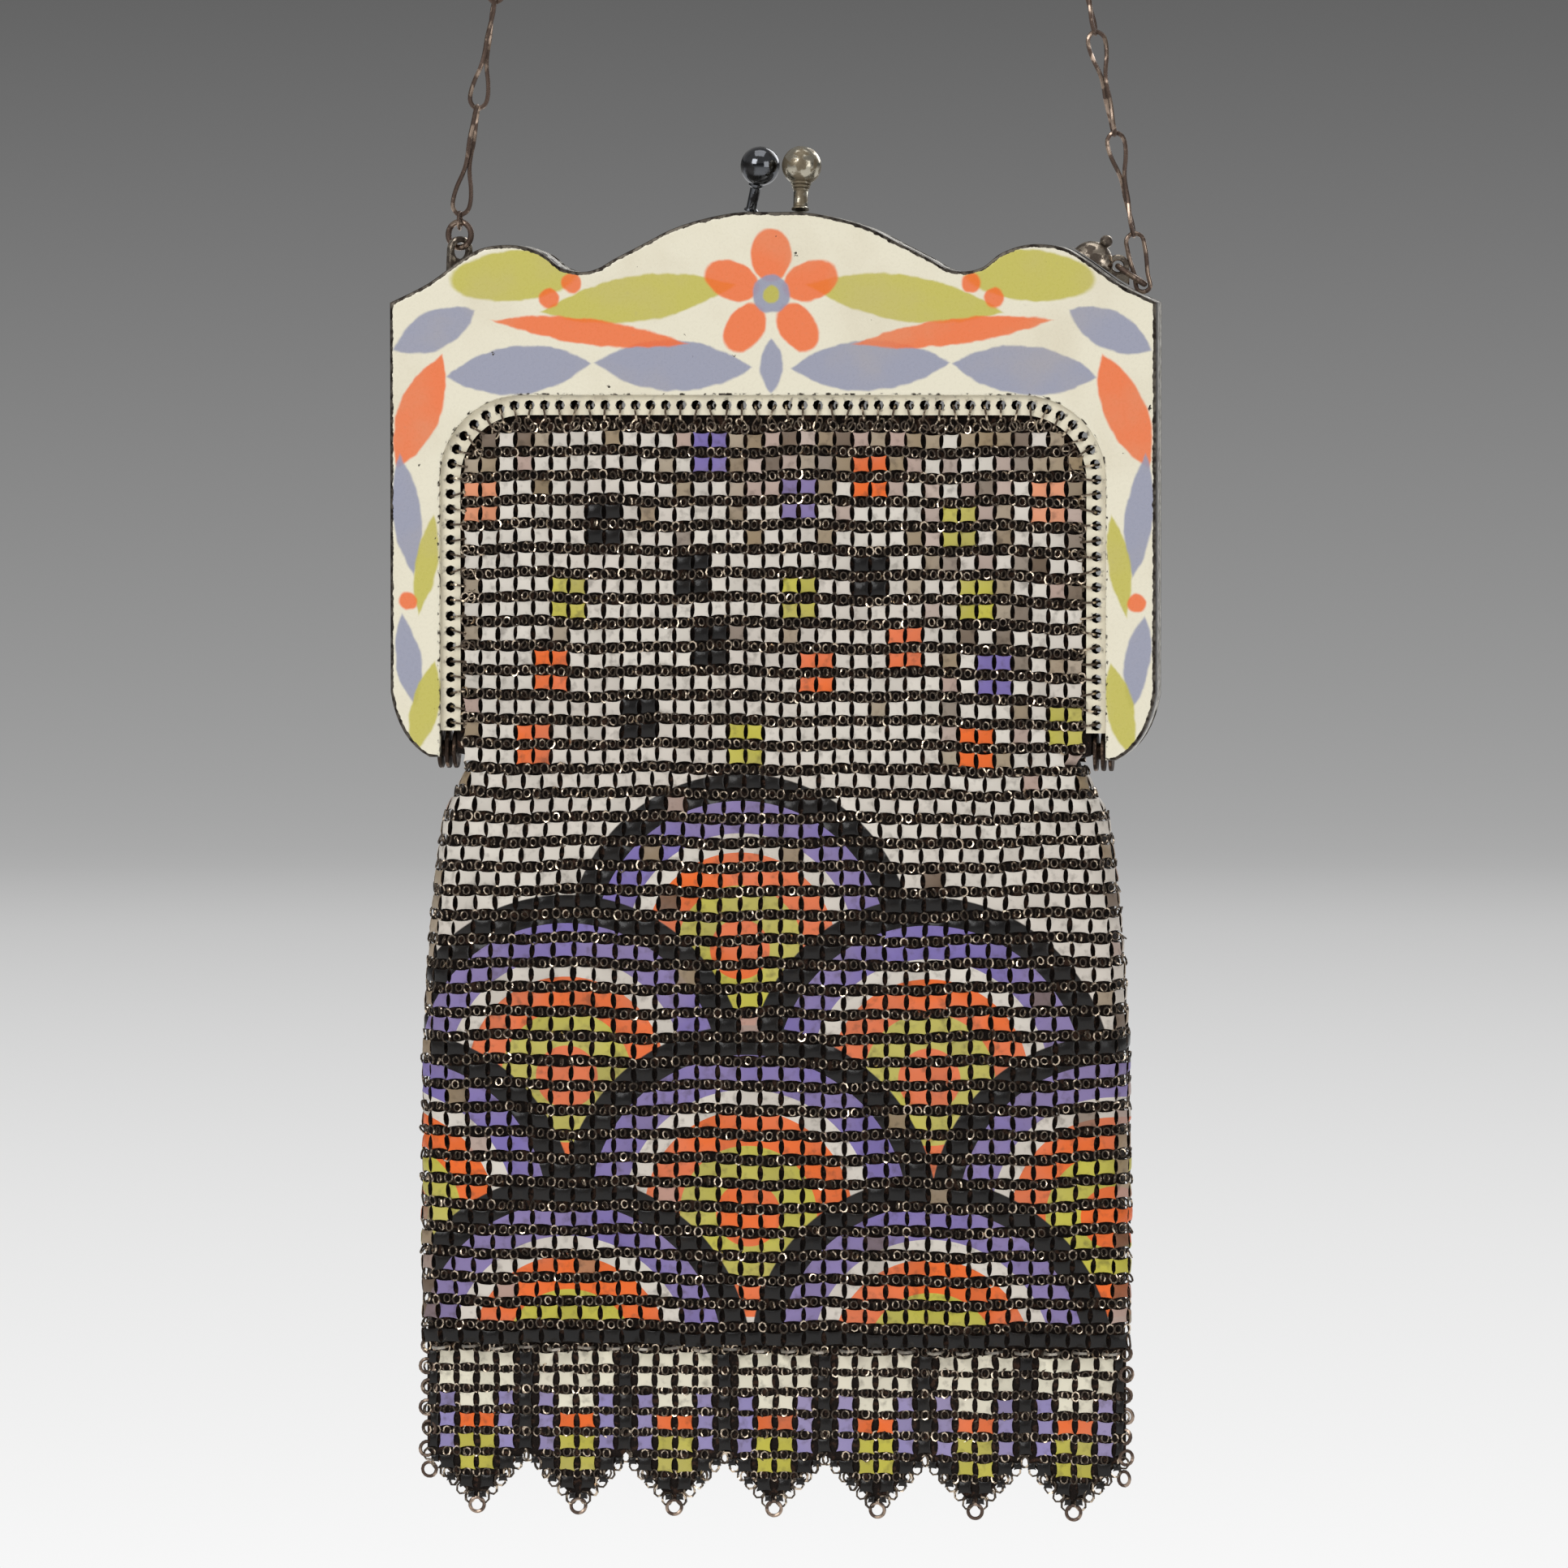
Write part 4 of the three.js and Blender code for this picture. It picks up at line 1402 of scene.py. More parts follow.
@dataclass
class PlateMesh:
    """The enamelled plates on their rings, front, back and sides, and the links behind them, dark with painted
    shade.
    """

    form: BagForm
    repeater: Repeater
    columns: int = 35
    rows: int = 37
    top_row: float = 41.9
    row_pitch: float = 3.206
    plate_width: float = 2.12
    plate_height: float = 2.0
    ring_half_width: float = 0.57
    ring_half_height: float = 0.75
    ring_wire: float = 0.15
    seed: int = 11
    palette: Palette = Palette()

    def plate(self) -> Shape:
        """One plate: a crowned square with hollow sides, its corners bent back over the rings."""
        quadrant = ((0.82, 0.0), (0.86, 0.52), (1.04, 1.03), (0.52, 0.86))
        border: list[tuple[float, float]] = []
        for turn in range(4):
            c, s = ((1, 0), (0, 1), (-1, 0), (0, -1))[turn]
            border.extend((x * c - y * s, x * s + y * c) for x, y in quadrant)
        half_x, half_y = self.plate_width / 2, self.plate_height / 2
        levels = ((0.84, 0.13, 1.0), (0.99, 0.06, 0.75), (1.02, -0.02, 0.0), (0.9, -0.14, 0.0))
        rings = []
        marks: list[float] = []
        for scale, lift, mark in levels:
            ring = []
            for x, y in border:
                corner = max(0.0, abs(x) + abs(y) - 1.6)
                ring.append((x * scale * half_x, y * scale * half_y, lift - corner * 0.3 * scale))
                marks.append(mark)
            rings.append(ring)
        shape = loft(rings, True, True)
        shape.marks = marks
        return shape

    def ring(self) -> Shape:
        """One oval ring of wire."""
        first = Vector((self.ring_half_width, 0, 0))
        path = ring_path(Vector(), first, Vector((0, self.ring_half_height, 0)), 8)
        return tube(path, self.ring_wire, 4)

    def _row_height(self, along: float, row: float, side: Side) -> float:
        """The height of a row at a place, with its sag."""
        down = row / self.rows
        share = along / (self.form.width / 2)
        sag = -0.8 * max(share, 0.0) ** 2 * math.sin(math.pi * min(down * 2.2, 1.0))
        lift = 1.3 * max(share - 0.1, 0.0) ** 2 * max(0.0, math.sin(math.pi * (down - 0.3) / 0.75))
        ripple = 0.18 * math.sin(0.21 * along + 0.35 * row) + 0.12 * math.sin(0.5 * along - 0.23 * row)
        way = 1.0 if side is Side.FRONT else 0.6
        return self.top_row - self.row_pitch * row + way * (sag + lift + ripple)

    def _tint(self, column: int, row: int, chance: np.random.Generator, patches: dict) -> Colour:
        """The colour of a plate, clear where the printed pattern shows.

        Args:
            column: The plate's column.
            row: Its row.
            chance: The source of the wear.
            patches: The coloured blocks by column and row.

        Returns:
            A colour with its share as alpha.
        """
        if (column, row) in patches:
            base = getattr(self.palette, patches[(column, row)])
            return (base[0], base[1], base[2], 1.0)
        worn = max(0.04, 1.05 - 0.2 * row) * (0.66 + 0.34 * math.sin(0.3 * column - 3.6))
        right = 0.5 * math.exp(-(((column - 29) / 5) ** 2)) * max(0.0, 1 - row / 18)
        edge = 0.4 if column in (0, self.columns - 1) else 0.0
        if chance.random() < worn + right + edge:
            name = ("brown", "tan", "tan", "rose")[chance.integers(4)]
            base = getattr(self.palette, name)
            return (base[0], base[1], base[2], float(chance.uniform(0.7, 1.0)))
        return (1.0, 1.0, 1.0, 0.0)

    def _patches(self) -> dict[tuple[int, int], str]:
        """The small coloured blocks scattered at random over the upper part, two plates each way."""
        chance = np.random.default_rng(44)
        colours = ("orange", "lime", "black", "orange", "violet", "lime", "peach", "black")
        tries, rows = 70, 13
        corners: list[tuple[int, int]] = []
        blocks: dict[tuple[int, int], str] = {}
        for _ in range(tries):
            column = int(chance.integers(0, self.columns - 1))
            row = int(chance.integers(0, rows))
            if any(abs(column - a) < 4 and abs(row - b) < 3 for a, b in corners):
                continue
            colour = colours[len(corners) % len(colours)]
            corners.append((column, row))
            for i in (0, 1):
                for k in (0, 1):
                    blocks[(column + i, row + k)] = colour
        return blocks

    def _fits(self, x: float, up: float) -> bool:
        """Whether a plate fits inside the panel's round corner."""
        return up < 0 or abs(x) + 0.55 * self.plate_width / 2 < self.form.half_width(up)

    def _plates(self, side: Side) -> Places:
        """The places of one face's plates and of one side's column."""
        chance = np.random.default_rng(self.seed + side.value)
        patches = self._patches()
        places = Places()
        middle = (self.columns - 1) / 2
        hem = tuple(self.palette.black[:3]) + (1.0,)
        for row in range(self.rows + 1):
            level = self.top_row - self.row_pitch * row
            pitch = self.form.pitch(level)
            last = self.columns + (1 if level < -1 else 0)
            for column in range(last):
                along = (column - middle) * pitch + chance.normal(0, 0.03)
                if column == self.columns:
                    along = (middle + 1) * pitch * (1 if side is Side.FRONT else -1)
                up = self._row_height(along, row, side) + chance.normal(0, 0.04)
                if not self._fits(along, up):
                    continue
                right, rise, _ = self.form.axes(along, up, side)
                spot = self.form.spot(along, up, side, -0.2)
                tint = self._tint(min(column, self.columns - 1), row, chance, patches)
                tint = hem if row == self.rows else tint
                right = right if side is Side.FRONT else -right
                size = (0.9 * pitch / self.plate_width, 1.0, 1.0)
                places.put(spot, right, rise, size, tint, float(chance.beta(1.3, 4)))
        return places

    def _rings(self, side: Side) -> Places:
        """The places of the rings between the plates of one face."""
        chance = np.random.default_rng(self.seed + 5 + side.value)
        places = Places()
        middle = self.columns / 2
        for row in range(self.rows + 1):
            level = self.top_row - self.row_pitch * (row - 0.5)
            pitch = self.form.pitch(level)
            for half in range(2 * self.columns + 1):
                between = half % 2 == 1
                along = (half / 2 - middle) * pitch + chance.normal(0, 0.08)
                up = self._row_height(along, row - 0.5, side) + chance.normal(0, 0.08)
                if up > 0 and abs(along) > self.form.half_width(up) - 0.3:
                    along = math.copysign(self.form.half_width(up) - 0.3, along)
                    if row < 2:
                        continue
                right, rise, out = self.form.axes(along, up, side)
                spot = self.form.spot(along, up, side, -0.28 if between else -0.16)
                lean = out * (chance.normal(0, 0.35) + (0.5 if between else 0.0))
                size = (0.8, 0.72, 1.0) if between else (0.95, 0.9, 1.0)
                places.put(spot, right + lean, rise + out * chance.normal(0, 0.25), size)
        return places

    def _inside_reach(self, up: float) -> float:
        """How far the links behind the plates go from the middle at a height, up to behind the strips."""
        form = self.form
        if up <= 0:
            half, deep = form.half_width(up), form.half_depth(up)
            return half - deep + math.pi * deep / 2
        behind = 0.9
        rise = max(up - (form.panel_top - form.panel_radius), 0.0)
        across = math.sqrt(max((form.panel_radius + behind) ** 2 - rise * rise, 0.0))
        return form.panel_half - form.panel_radius + across

    def _inside(self) -> Shape:
        """The folded arms and rings behind the plates, as two sheets that meet at the sides, dark with painted
        shade of the bag's inside.
        """
        shape = Shape()
        levels = [45.65, 45.2, 44.4, 43.2, 41.5, 39.5, 37.0, 30.0, 20.0, 10.0, 0.5]
        levels += [-self.form.length * k / 24 for k in range(25)]
        for side in Side:
            rows = []
            for up in levels:
                inset = 1.15 if up > 0 else 0.85
                reach = self._inside_reach(up)
                alongs = [reach * (k / 20 - 1) for k in range(41)]
                rows.append([tuple(self.form.spot(along, up, side, -inset)) for along in alongs])
            hem = [(x, side.value * 0.05, up - 0.6) for x, y, up in rows[-1]]
            shape.add(loft(rows + [hem], False, False))
        return shape

    def build(self) -> None:
        """Makes the plates, the rings and the links behind them."""
        enamel = PlateEnamel("plate_enamel_printed", True).material()
        for side in Side:
            label = side.name.lower()
            places, seed = self._plates(side), 7 + side.value
            plates = self.repeater.run("mesh_plates_" + label, places, self.plate(), enamel, (7, 7, 3), seed)
            settle(plates, "enamelled_mesh", "mesh_bag")
            wire = MESH_RING.material()
            places, seed = self._rings(side), 21 + side.value
            rings = self.repeater.run("mesh_rings_" + label, places, self.ring(), wire, (16, 16, 10), seed)
            settle(rings, "enamelled_mesh", "mesh_bag")
        # Two dark sheets behind the plates stand for the links there and paint the shade of the bag's inside.
        inside = make_piece("mesh_links_inside", self._inside(), INNER_LINKS_AND_SHADE.material())
        settle(inside, "enamelled_mesh", "mesh_bag")


@dataclass
class MeshFringe:
    """The fringe: seven tabs of plates that end in points, each with a ring at its tip."""

    mesh: PlateMesh
    repeater: Repeater
    width: float = 93.0
    tabs: int = 7
    top: float = -77.3
    rows: tuple[float, ...] = (-79.8, -82.5, -85.3, -88.1, -90.9, -93.7)
    notch: float = -92.2
    tip: float = -98.5
    tip_ring_height: float = -99.4
    tip_ring_radius: float = 0.95
    tip_ring_wire: float = 0.24
    side_rings: int = 7
    dark_plates: tuple[tuple[float, float, float], ...] = (
        (1.5, -93.7, 0.95),
        (2.12, -93.3, 0.5),
        (0.52, -96.2, 0.9),
        (1.3, -95.7, 0.55),
        (0.28, -98.0, 0.45),
    )
    colours: tuple[tuple[str, str], ...] = (
        ("cream", "cream"),
        ("cream", "cream"),
        ("lilac", "cream"),
        ("lilac", "orange"),
        ("lilac", "lime"),
        ("", "lime"),
    )

    @property
    def tab_pitch(self) -> float:
        """The distance from one tab to the next."""
        return self.width / self.tabs

    @property
    def column_pitch(self) -> float:
        """The distance from one column of plates to the next."""
        return self.tab_pitch / 5

    def _middle(self, tab: int) -> float:
        """Where a tab's middle line is."""
        return (tab + 0.5) * self.tab_pitch - self.width / 2

    def _sway(self, tab: int, up: float) -> float:
        """How far a tab has swung to one side at a height."""
        down = (self.top - up) / (self.top - self.tip)
        return 0.3 * math.sin(1.9 * tab) * down * down

    def _tint(self, name: str) -> Colour:
        """A palette colour at its full share."""
        base = getattr(self.mesh.palette, name)
        return (base[0], base[1], base[2], 1.0)

    def _put_pair(self, places: Places, x: float, up: float, size: Point, tint: Colour, shade: float) -> None:
        """Sets one plate on the front and one on the back."""
        for side in Side:
            right = Vector((-side.value, 0, 0))
            places.put(Vector((x, side.value * 0.32, up)), right, Vector((0, 0, 1)), size, tint, shade)

    def _plates(self) -> Places:
        """The places of all the fringe's plates."""
        chance = np.random.default_rng(31)
        places = Places()
        pitch = self.column_pitch
        black = self._tint("black")
        for tab in range(self.tabs):
            middle = self._middle(tab)
            for up, pair in zip(self.rows, self.colours):
                for k in (-1.5, -0.5, 0.5, 1.5):
                    name = pair[0] if abs(k) > 1 else pair[1]
                    if not name:
                        continue
                    x = middle + k * pitch + self._sway(tab, up) + chance.normal(0, 0.08)
                    shade = float(chance.beta(1.3, 4))
                    level = up + chance.normal(0, 0.1)
                    self._put_pair(places, x, level, (1.0, 0.98, 1.0), self._tint(name), shade)
            for k, up, share in self.dark_plates:
                for way in (-1, 1):
                    x = middle + way * k * pitch + self._sway(tab, up)
                    self._put_pair(places, x, up, (share, share, 1.0), black, 0.3)
        for edge in range(self.tabs + 1):
            x = edge * self.tab_pitch - self.width / 2
            outer = edge in (0, self.tabs)
            x -= math.copysign(0.8, x) if outer else 0.0
            for up in self.rows[:-1]:
                size = (0.55 if outer else 0.85, 0.95, 1.0)
                shifted = x + chance.normal(0, 0.1)
                self._put_pair(places, shifted, up, size, black, float(chance.uniform(0, 0.7)))
        return places

    def _rings(self) -> Places:
        """The places of the small rings between the plates and along the points."""
        chance = np.random.default_rng(32)
        places = Places()
        face, rise = Vector((1, 0, 0)), Vector((0, 0, 1))
        levels = [(a + b) / 2 for a, b in zip(self.rows, self.rows[1:])]
        levels = [self.rows[0] + 1.4] + levels + [self.rows[-1] - 1.35]
        for tab in range(self.tabs):
            middle = self._middle(tab)
            for up in levels:
                reach = 5 if up > self.notch else 3
                for k in range(-reach, reach + 1):
                    x = middle + k * self.column_pitch / 2 + self._sway(tab, up)
                    for side in Side:
                        lean = Vector((0, chance.normal(0, 0.35), 0))
                        spot = Vector((x, side.value * 0.22, up + chance.normal(0, 0.08)))
                        places.put(spot, face + lean, rise, (0.9, 0.85, 1.0))
            for way in (-1, 1):
                for step in range(6):
                    share = step / 5
                    up = self.notch - 0.5 + share * (self.tip - self.notch + 0.7)
                    x = middle + way * (6.4 - 5.5 * share) + self._sway(tab, up)
                    lean = Vector((0, chance.normal(0, 0.4), 0.4 * way))
                    places.put(Vector((x, 0, up)), face + lean, rise, (1.25, 1.15, 1.2))
        return places

    def _side_rings(self) -> Places:
        """The places of the loose rings down the fringe's two outer sides."""
        chance = np.random.default_rng(33)
        places = Places()
        for way in (-1, 1):
            for i in range(self.side_rings):
                x = way * (self.width / 2 - 0.25 + 0.3 * (i % 2))
                face = Vector((1, chance.normal(0, 0.45), 0))
                places.put(Vector((x, 0, self.top - 1.0 - 2.75 * i)), face, Vector((0.1 * way, 0, 1)))
        return places

    def _hem_rings(self) -> Places:
        """The wide rings that join the fringe to the hem, seen edge on."""
        places = Places()
        count = 24
        for i in range(count):
            x = (i - (count - 1) / 2) * self.width / count
            tip = Vector((1, 0, 0.06 * math.sin(3.3 * i)))
            places.put(Vector((x, 0, self.top - 0.95)), tip, Vector((0, 1, 0)), (1.8, 4.1, 1.5))
        return places

    def _tips(self) -> Shape:
        """The ring at each point."""
        shape = Shape()
        for tab in range(self.tabs):
            x = self._middle(tab) + self._sway(tab, self.tip)
            centre = Vector((x, 0, self.tip_ring_height))
            first = Vector((self.tip_ring_radius, 0.2 * math.sin(tab), 0))
            path = ring_path(centre, first, Vector((0, 0, self.tip_ring_radius)), 28)
            shape.add(tube(path, self.tip_ring_wire, 8))
        return shape

    def _inside(self) -> Shape:
        """The links behind the plates of each tab, as thin dark sheets painted with the shade between the two
        faces.
        """
        shape = Shape()
        wide = self.tab_pitch / 2
        corners = ((-1, 0.06), (1, 0.06), (1, -0.06), (-1, -0.06))
        stations = ((self.top, wide), (self.notch, wide), (-93.4, 5.3), (-95.6, 3.1), (self.tip, 0.5))
        for tab in range(self.tabs):
            rows = []
            for up, half in stations:
                middle = self._middle(tab) + (self._sway(tab, up) if up < self.notch else 0.0)
                rows.append([(middle + half * k, y, up) for k, y in corners])
            shape.add(loft(rows, True, True))
        return shape

    def build(self) -> None:
        """Makes the fringe's plates and rings."""
        enamel = PlateEnamel("plate_enamel_fringe", False).material()
        wire = MESH_RING.material()
        plates = self.repeater.run("fringe_plates", self._plates(), self.mesh.plate(), enamel, (6, 6, 5), 3)
        settle(plates, "enamelled_fringe", "fringe")
        ring = self.mesh.ring()
        small = self.repeater.run("fringe_rings", self._rings(), ring, wire, (14, 14, 8), 5)
        settle(small, "enamelled_fringe", "fringe")
        wide = self.repeater.run("mesh_hem_rings", self._hem_rings(), ring, BAR.material(), (4, 4, 4), 9)
        settle(wide, "enamelled_mesh", "mesh_bag")
        radius = self.tip_ring_radius
        path = ring_path(Vector(), Vector((radius, 0, 0)), Vector((0, radius, 0)), 14)
        stout = tube(path, self.tip_ring_wire, 6)
        worn = WIRE.material()
        loose = self.repeater.run("fringe_side_rings", self._side_rings(), stout, worn, (5, 15, 5), 10)
        settle(loose, "enamelled_fringe", "fringe")
        settle(make_piece("fringe_tip_rings", self._tips(), worn), "enamelled_fringe", "fringe")
        # A thin dark sheet in each tab stands for its links and paints the shade between the two faces.
        inside = make_piece("fringe_links_inside", self._inside(), INNER_LINKS_AND_SHADE.material())
        settle(inside, "enamelled_fringe", "fringe")


# The clasp and the hinges


@dataclass
class SnapClasp:
    """The two balls of the snap clasp on their stems."""

    crest: float = 71.7
    ball: float = 5.2
    rise: float = 6.1
    lean: float = 1.5
    seat: float = 2.4
    left_ball_x: float = -2.1
    left_stem_x: float = -3.5
    left_stem: float = 1.4
    right_ball_x: float = 3.6
    right_stem: float = 1.9
    collar: float = 2.7

    def _ball_rows(self, start_radius: float, height: float) -> list[tuple[float, float]]:
        """The ball's profile above its neck."""
        radius = self.ball / 2
        start = math.asin(min(start_radius / radius, 1.0))
        rows = []
        for i in range(19):
            angle = start + (math.pi - start) * i / 18
            rows.append((max(radius * math.sin(angle), 0.001), height - radius * math.cos(angle)))
        return rows

    def _left(self) -> Shape:
        """The left ball, which leans over from the back half."""
        foot = Vector((self.left_stem_x, self.seat, self.crest + CLEARANCE))
        centre = Vector((self.left_ball_x, self.seat - self.lean, self.crest + self.rise))
        height = (centre - foot).length
        neck = height - self.ball / 2
        stem = self.left_stem / 2
        rows = [(stem + 0.25, 0.0), (stem + 0.25, 0.12), (stem, 0.35)]
        rows += [(stem, neck - 0.4), (stem + 0.3, neck - 0.1)]
        return turned(rows + self._ball_rows(stem + 0.3, height), foot, centre)

    def _right(self) -> Shape:
        """The right ball, which stands on a collar of three rings."""
        foot = Vector((self.right_ball_x, -self.seat, self.crest + CLEARANCE))
        centre = Vector((self.right_ball_x, self.lean - self.seat, self.crest + self.rise))
        height = (centre - foot).length
        neck = height - self.ball / 2
        stem = self.right_stem / 2
        ring = 0.45
        rows = [(stem + 0.2, 0.0), (stem + 0.2, 0.15), (stem, 0.35), (stem, neck - 3 * ring + 0.3)]
        for i in range(3):
            low = neck - (3 - i) * ring + 0.4
            out = self.collar / 2 - 0.16 * (2 - i)
            for share in (0.0, 0.2, 0.5, 0.8, 1.0):
                bulge = math.sin(math.pi * (0.12 + 0.76 * share))
                rows.append((out - 0.2 * (1 - bulge), low + ring * share * 0.94))
        return turned(rows + self._ball_rows(rows[-1][0], height), foot, centre)

    def build(self) -> None:
        """Makes both balls."""
        left = make_piece("clasp_ball_left_polished", self._left(), GUNMETAL.material())
        settle(left, "dark_clasp_metal", "clasp_ball_left")
        right = make_piece("clasp_ball_right_collared", self._right(), SILVER.material())
        settle(right, "pale_clasp_metal", "clasp_ball_right")


@dataclass
class RibbedHinges:
    """The hinges at the frame's feet: thin round leaves on a pin that runs across the purse."""

    outline: FrameOutline
    radius: float = 2.6
    pin: float = 1.1
    leaf: float = 0.5
    gap: float = 0.5
    leaves: int = 3
    height: float = 1.0
    rim: float = 0.8

    def _profile(self) -> list[tuple[float, float]]:
        """The leaves' profile along the pin."""
        rows: list[tuple[float, float]] = [(0.001, 0.0)]
        soft = 0.08
        for i in range(self.leaves):
            start = i * (self.leaf + self.gap)
            if i:
                rows.append((self.pin, start))
            rows += [(self.radius - soft, start), (self.radius, start + soft)]
            rows += [(self.radius, start + self.leaf - soft), (self.radius - soft, start + self.leaf)]
            if i < self.leaves - 1:
                rows.append((self.pin, start + self.leaf))
        return rows + [(0.001, self.leaves * self.leaf + (self.leaves - 1) * self.gap)]

    def build(self) -> None:
        """Makes both hinges."""
        profile = self._profile()
        length = profile[-1][1]
        edge = inset_line(self.outline.outer(), self.rim, False)
        outside = edge[-1].x - CLEARANCE
        for name, start in (("hinge_left", -outside), ("hinge_right", outside - length)):
            foot = Vector((start, 0, self.height))
            shape = turned(profile, foot, foot + Vector((1, 0, 0)), 36)
            settle(make_piece(name + "_ribs", shape, HINGE.material()), "hinge_metal", name)


# The ears, the rings and the chain


@dataclass
class EarsAndRings:
    """The lugs that hold the chain and the rings in them."""

    outline: FrameOutline
    seat: float = 2.4
    ear_x: float = 42.3
    eye_height: float = 2.1
    eye_radius: float = 1.1
    rim_radius: float = 1.9
    thickness: float = 0.9
    base_width: float = 4.4
    ear_turn: float = 45.0
    ring_radius: float = 1.7
    ring_wire: float = 0.8
    ring_turn: float = -20.0
    dome_x: float = 41.6
    dome_width: float = 5.6
    dome_depth: float = 3.8
    dome_height: float = 2.4
    bead_radius: float = 0.85
    side_eye_out: float = 3.4
    side_eye_rise: float = 1.9
    side_eye_radius: float = 0.75
    side_rim_radius: float = 1.5
    side_ring_length: float = 4.2
    side_ring_width: float = 3.0
    side_ring_slope: float = 34.0

    def left_eye(self) -> Vector:
        """The middle of the left lug's eye."""
        return Vector((-self.ear_x, self.seat, self.outline.shoulder(self.ear_x) + self.eye_height))

    def right_eye(self) -> Vector:
        """The middle of the eye on the right ear's outer side."""
        x = self.dome_x + self.side_eye_out
        return Vector((x, self.seat, self.outline.shoulder(x) + self.side_eye_rise))

    def left_ring_centre(self) -> Vector:
        """The middle of the left ring, which hangs up from its eye."""
        rise = self.eye_radius - self.ring_wire / 2 - CLEARANCE + self.ring_radius
        return self.left_eye() + Vector((0, 0, rise))

    def side_way(self) -> Vector:
        """The way the right ring runs, outwards and down."""
        slope = math.radians(self.side_ring_slope)
        return Vector((math.cos(slope), 0, -math.sin(slope)))

    def _lug(self, centre: Vector, turn: float, rim: float, eye: float, base: float, drop: float) -> Shape:
        """A flat lug with an eye, its edges softened and its foot set on the shoulder.

        Args:
            centre: The middle of the eye.
            turn: How far it is turned about the upright, in degrees.
            rim: The outer radius round the eye.
            eye: The radius of the eye.
            base: The width of its foot.
            drop: How far below the eye its foot is drawn.

        Returns:
            The lug.
        """
        steps = 40
        outer, inner = [], []
        for i in range(steps):
            angle = 2 * math.pi * i / steps
            c, s = math.cos(angle), math.sin(angle)
            reach = rim
            if s < 0:
                side = rim * drop / (drop * abs(c) + (base / 2 - rim) * s) if abs(c) > 1e-6 else 1e6
                side = side if side > 0 else 1e6
                reach = min(drop / -s, side)
            outer.append((c * reach, s * reach))
            inner.append((c * eye, s * eye))
        half, soft = self.thickness / 2, 0.15
        shrink = 1 - soft / rim
        grow = 1 + soft / eye
        rings = [
            [(u * shrink, -half, w * shrink) for u, w in outer],
            [(u, -half + soft, w) for u, w in outer],
            [(u, half - soft, w) for u, w in outer],
            [(u * shrink, half, w * shrink) for u, w in outer],
            [(u * grow, half, w * grow) for u, w in inner],
            [(u, half - soft, w) for u, w in inner],
            [(u, soft - half, w) for u, w in inner],
            [(u * grow, -half, w * grow) for u, w in inner],
        ]
        about = Matrix.Rotation(math.radians(turn), 3, "Z")
        return loft(rings, True, False, True).moved(lambda v: centre + about @ v)

    def _seated(self, shape: Shape) -> Shape:
        """Stops a shape a little above the frame's shoulder."""

        def lift(point: Vector) -> Vector:
            """Moves a point up to the shoulder."""
            floor = self.outline.shoulder(point.x) + CLEARANCE
            return Vector((point.x, point.y, max(point.z, floor)))

        return shape.moved(lift)

    def _dome(self) -> Shape:
        """The right ear's dome with its bead."""
        steps = 10
        rows = []
        for i in range(steps + 1):
            angle = math.pi / 2 * i / steps
            rows.append((max(math.cos(angle), 0.001), math.sin(angle)))
        dome = turned([(1.0, -0.4)] + rows, Vector(), Vector((0, 0, 1)), 40)
        height = self.dome_height + CLEARANCE
        dome = dome.moved(lambda v: Vector((v.x * self.dome_width / 2, v.y * self.dome_depth / 2, v.z * height)))
        bead_rows = []
        for i in range(11):
            angle = math.pi * i / 10
            out = max(self.bead_radius * math.sin(angle), 0.001)
            bead_rows.append((out, -self.bead_radius * math.cos(angle)))
        middle = Vector((0, 0, self.dome_height + self.bead_radius))
        bead = turned(bead_rows, middle, middle + Vector((0, 0, 1)), 28)
        crown = Vector((0, 0, self.dome_height))
        neck = turned([(0.9, -0.6), (0.62, -0.3), (0.5, 0.1)], crown, crown + Vector((0, 0, 1)), 28)
        whole = dome.add(bead).add(neck)
        step = 0.5
        rise = self.outline.shoulder(self.dome_x + step) - self.outline.shoulder(self.dome_x - step)
        tip = Matrix.Rotation(-math.atan2(rise, 2 * step), 3, "Y")
        base = Vector((self.dome_x, self.seat, self.outline.shoulder(self.dome_x)))
        return whole.moved(lambda v: base + tip @ v)

    def build(self) -> None:
        """Makes the ears and the rings."""
        rim, eye, foot = self.rim_radius, self.eye_radius, self.base_width
        left = self._lug(self.left_eye(), self.ear_turn, rim, eye, foot, self.eye_height + foot)
        settle(make_piece("ear_left_lug", self._seated(left), LUG.material()), "pale_clasp_metal", "ear_left")
        rim, eye = self.side_rim_radius, self.side_eye_radius
        right = self._lug(self.right_eye(), 0.0, rim, eye, 2 * rim, self.side_eye_rise + rim)
        right = self._seated(right).add(self._seated(self._dome()))
        settle(make_piece("ear_right_dome", right, LUG.material()), "pale_clasp_metal", "ear_right")
        face = Matrix.Rotation(math.radians(self.ring_turn), 3, "Z") @ Vector((1, 0, 0))
        path = ring_path(self.left_ring_centre(), face * self.ring_radius, Vector((0, 0, self.ring_radius)), 44)
        ring = make_piece("ring_left_wire", tube(path, self.ring_wire / 2, 12), WIRE.material())
        settle(ring, "ring_metal", "ring_left")
        half = self.side_way() * self.side_ring_length / 2
        path = ring_path(self.right_eye() + half, half, Vector((0, self.side_ring_width / 2, 0)), 44)
        ring = make_piece("ring_right_wire", tube(path, self.ring_wire / 2, 12), WIRE.material())
        settle(ring, "ring_metal", "ring_right")


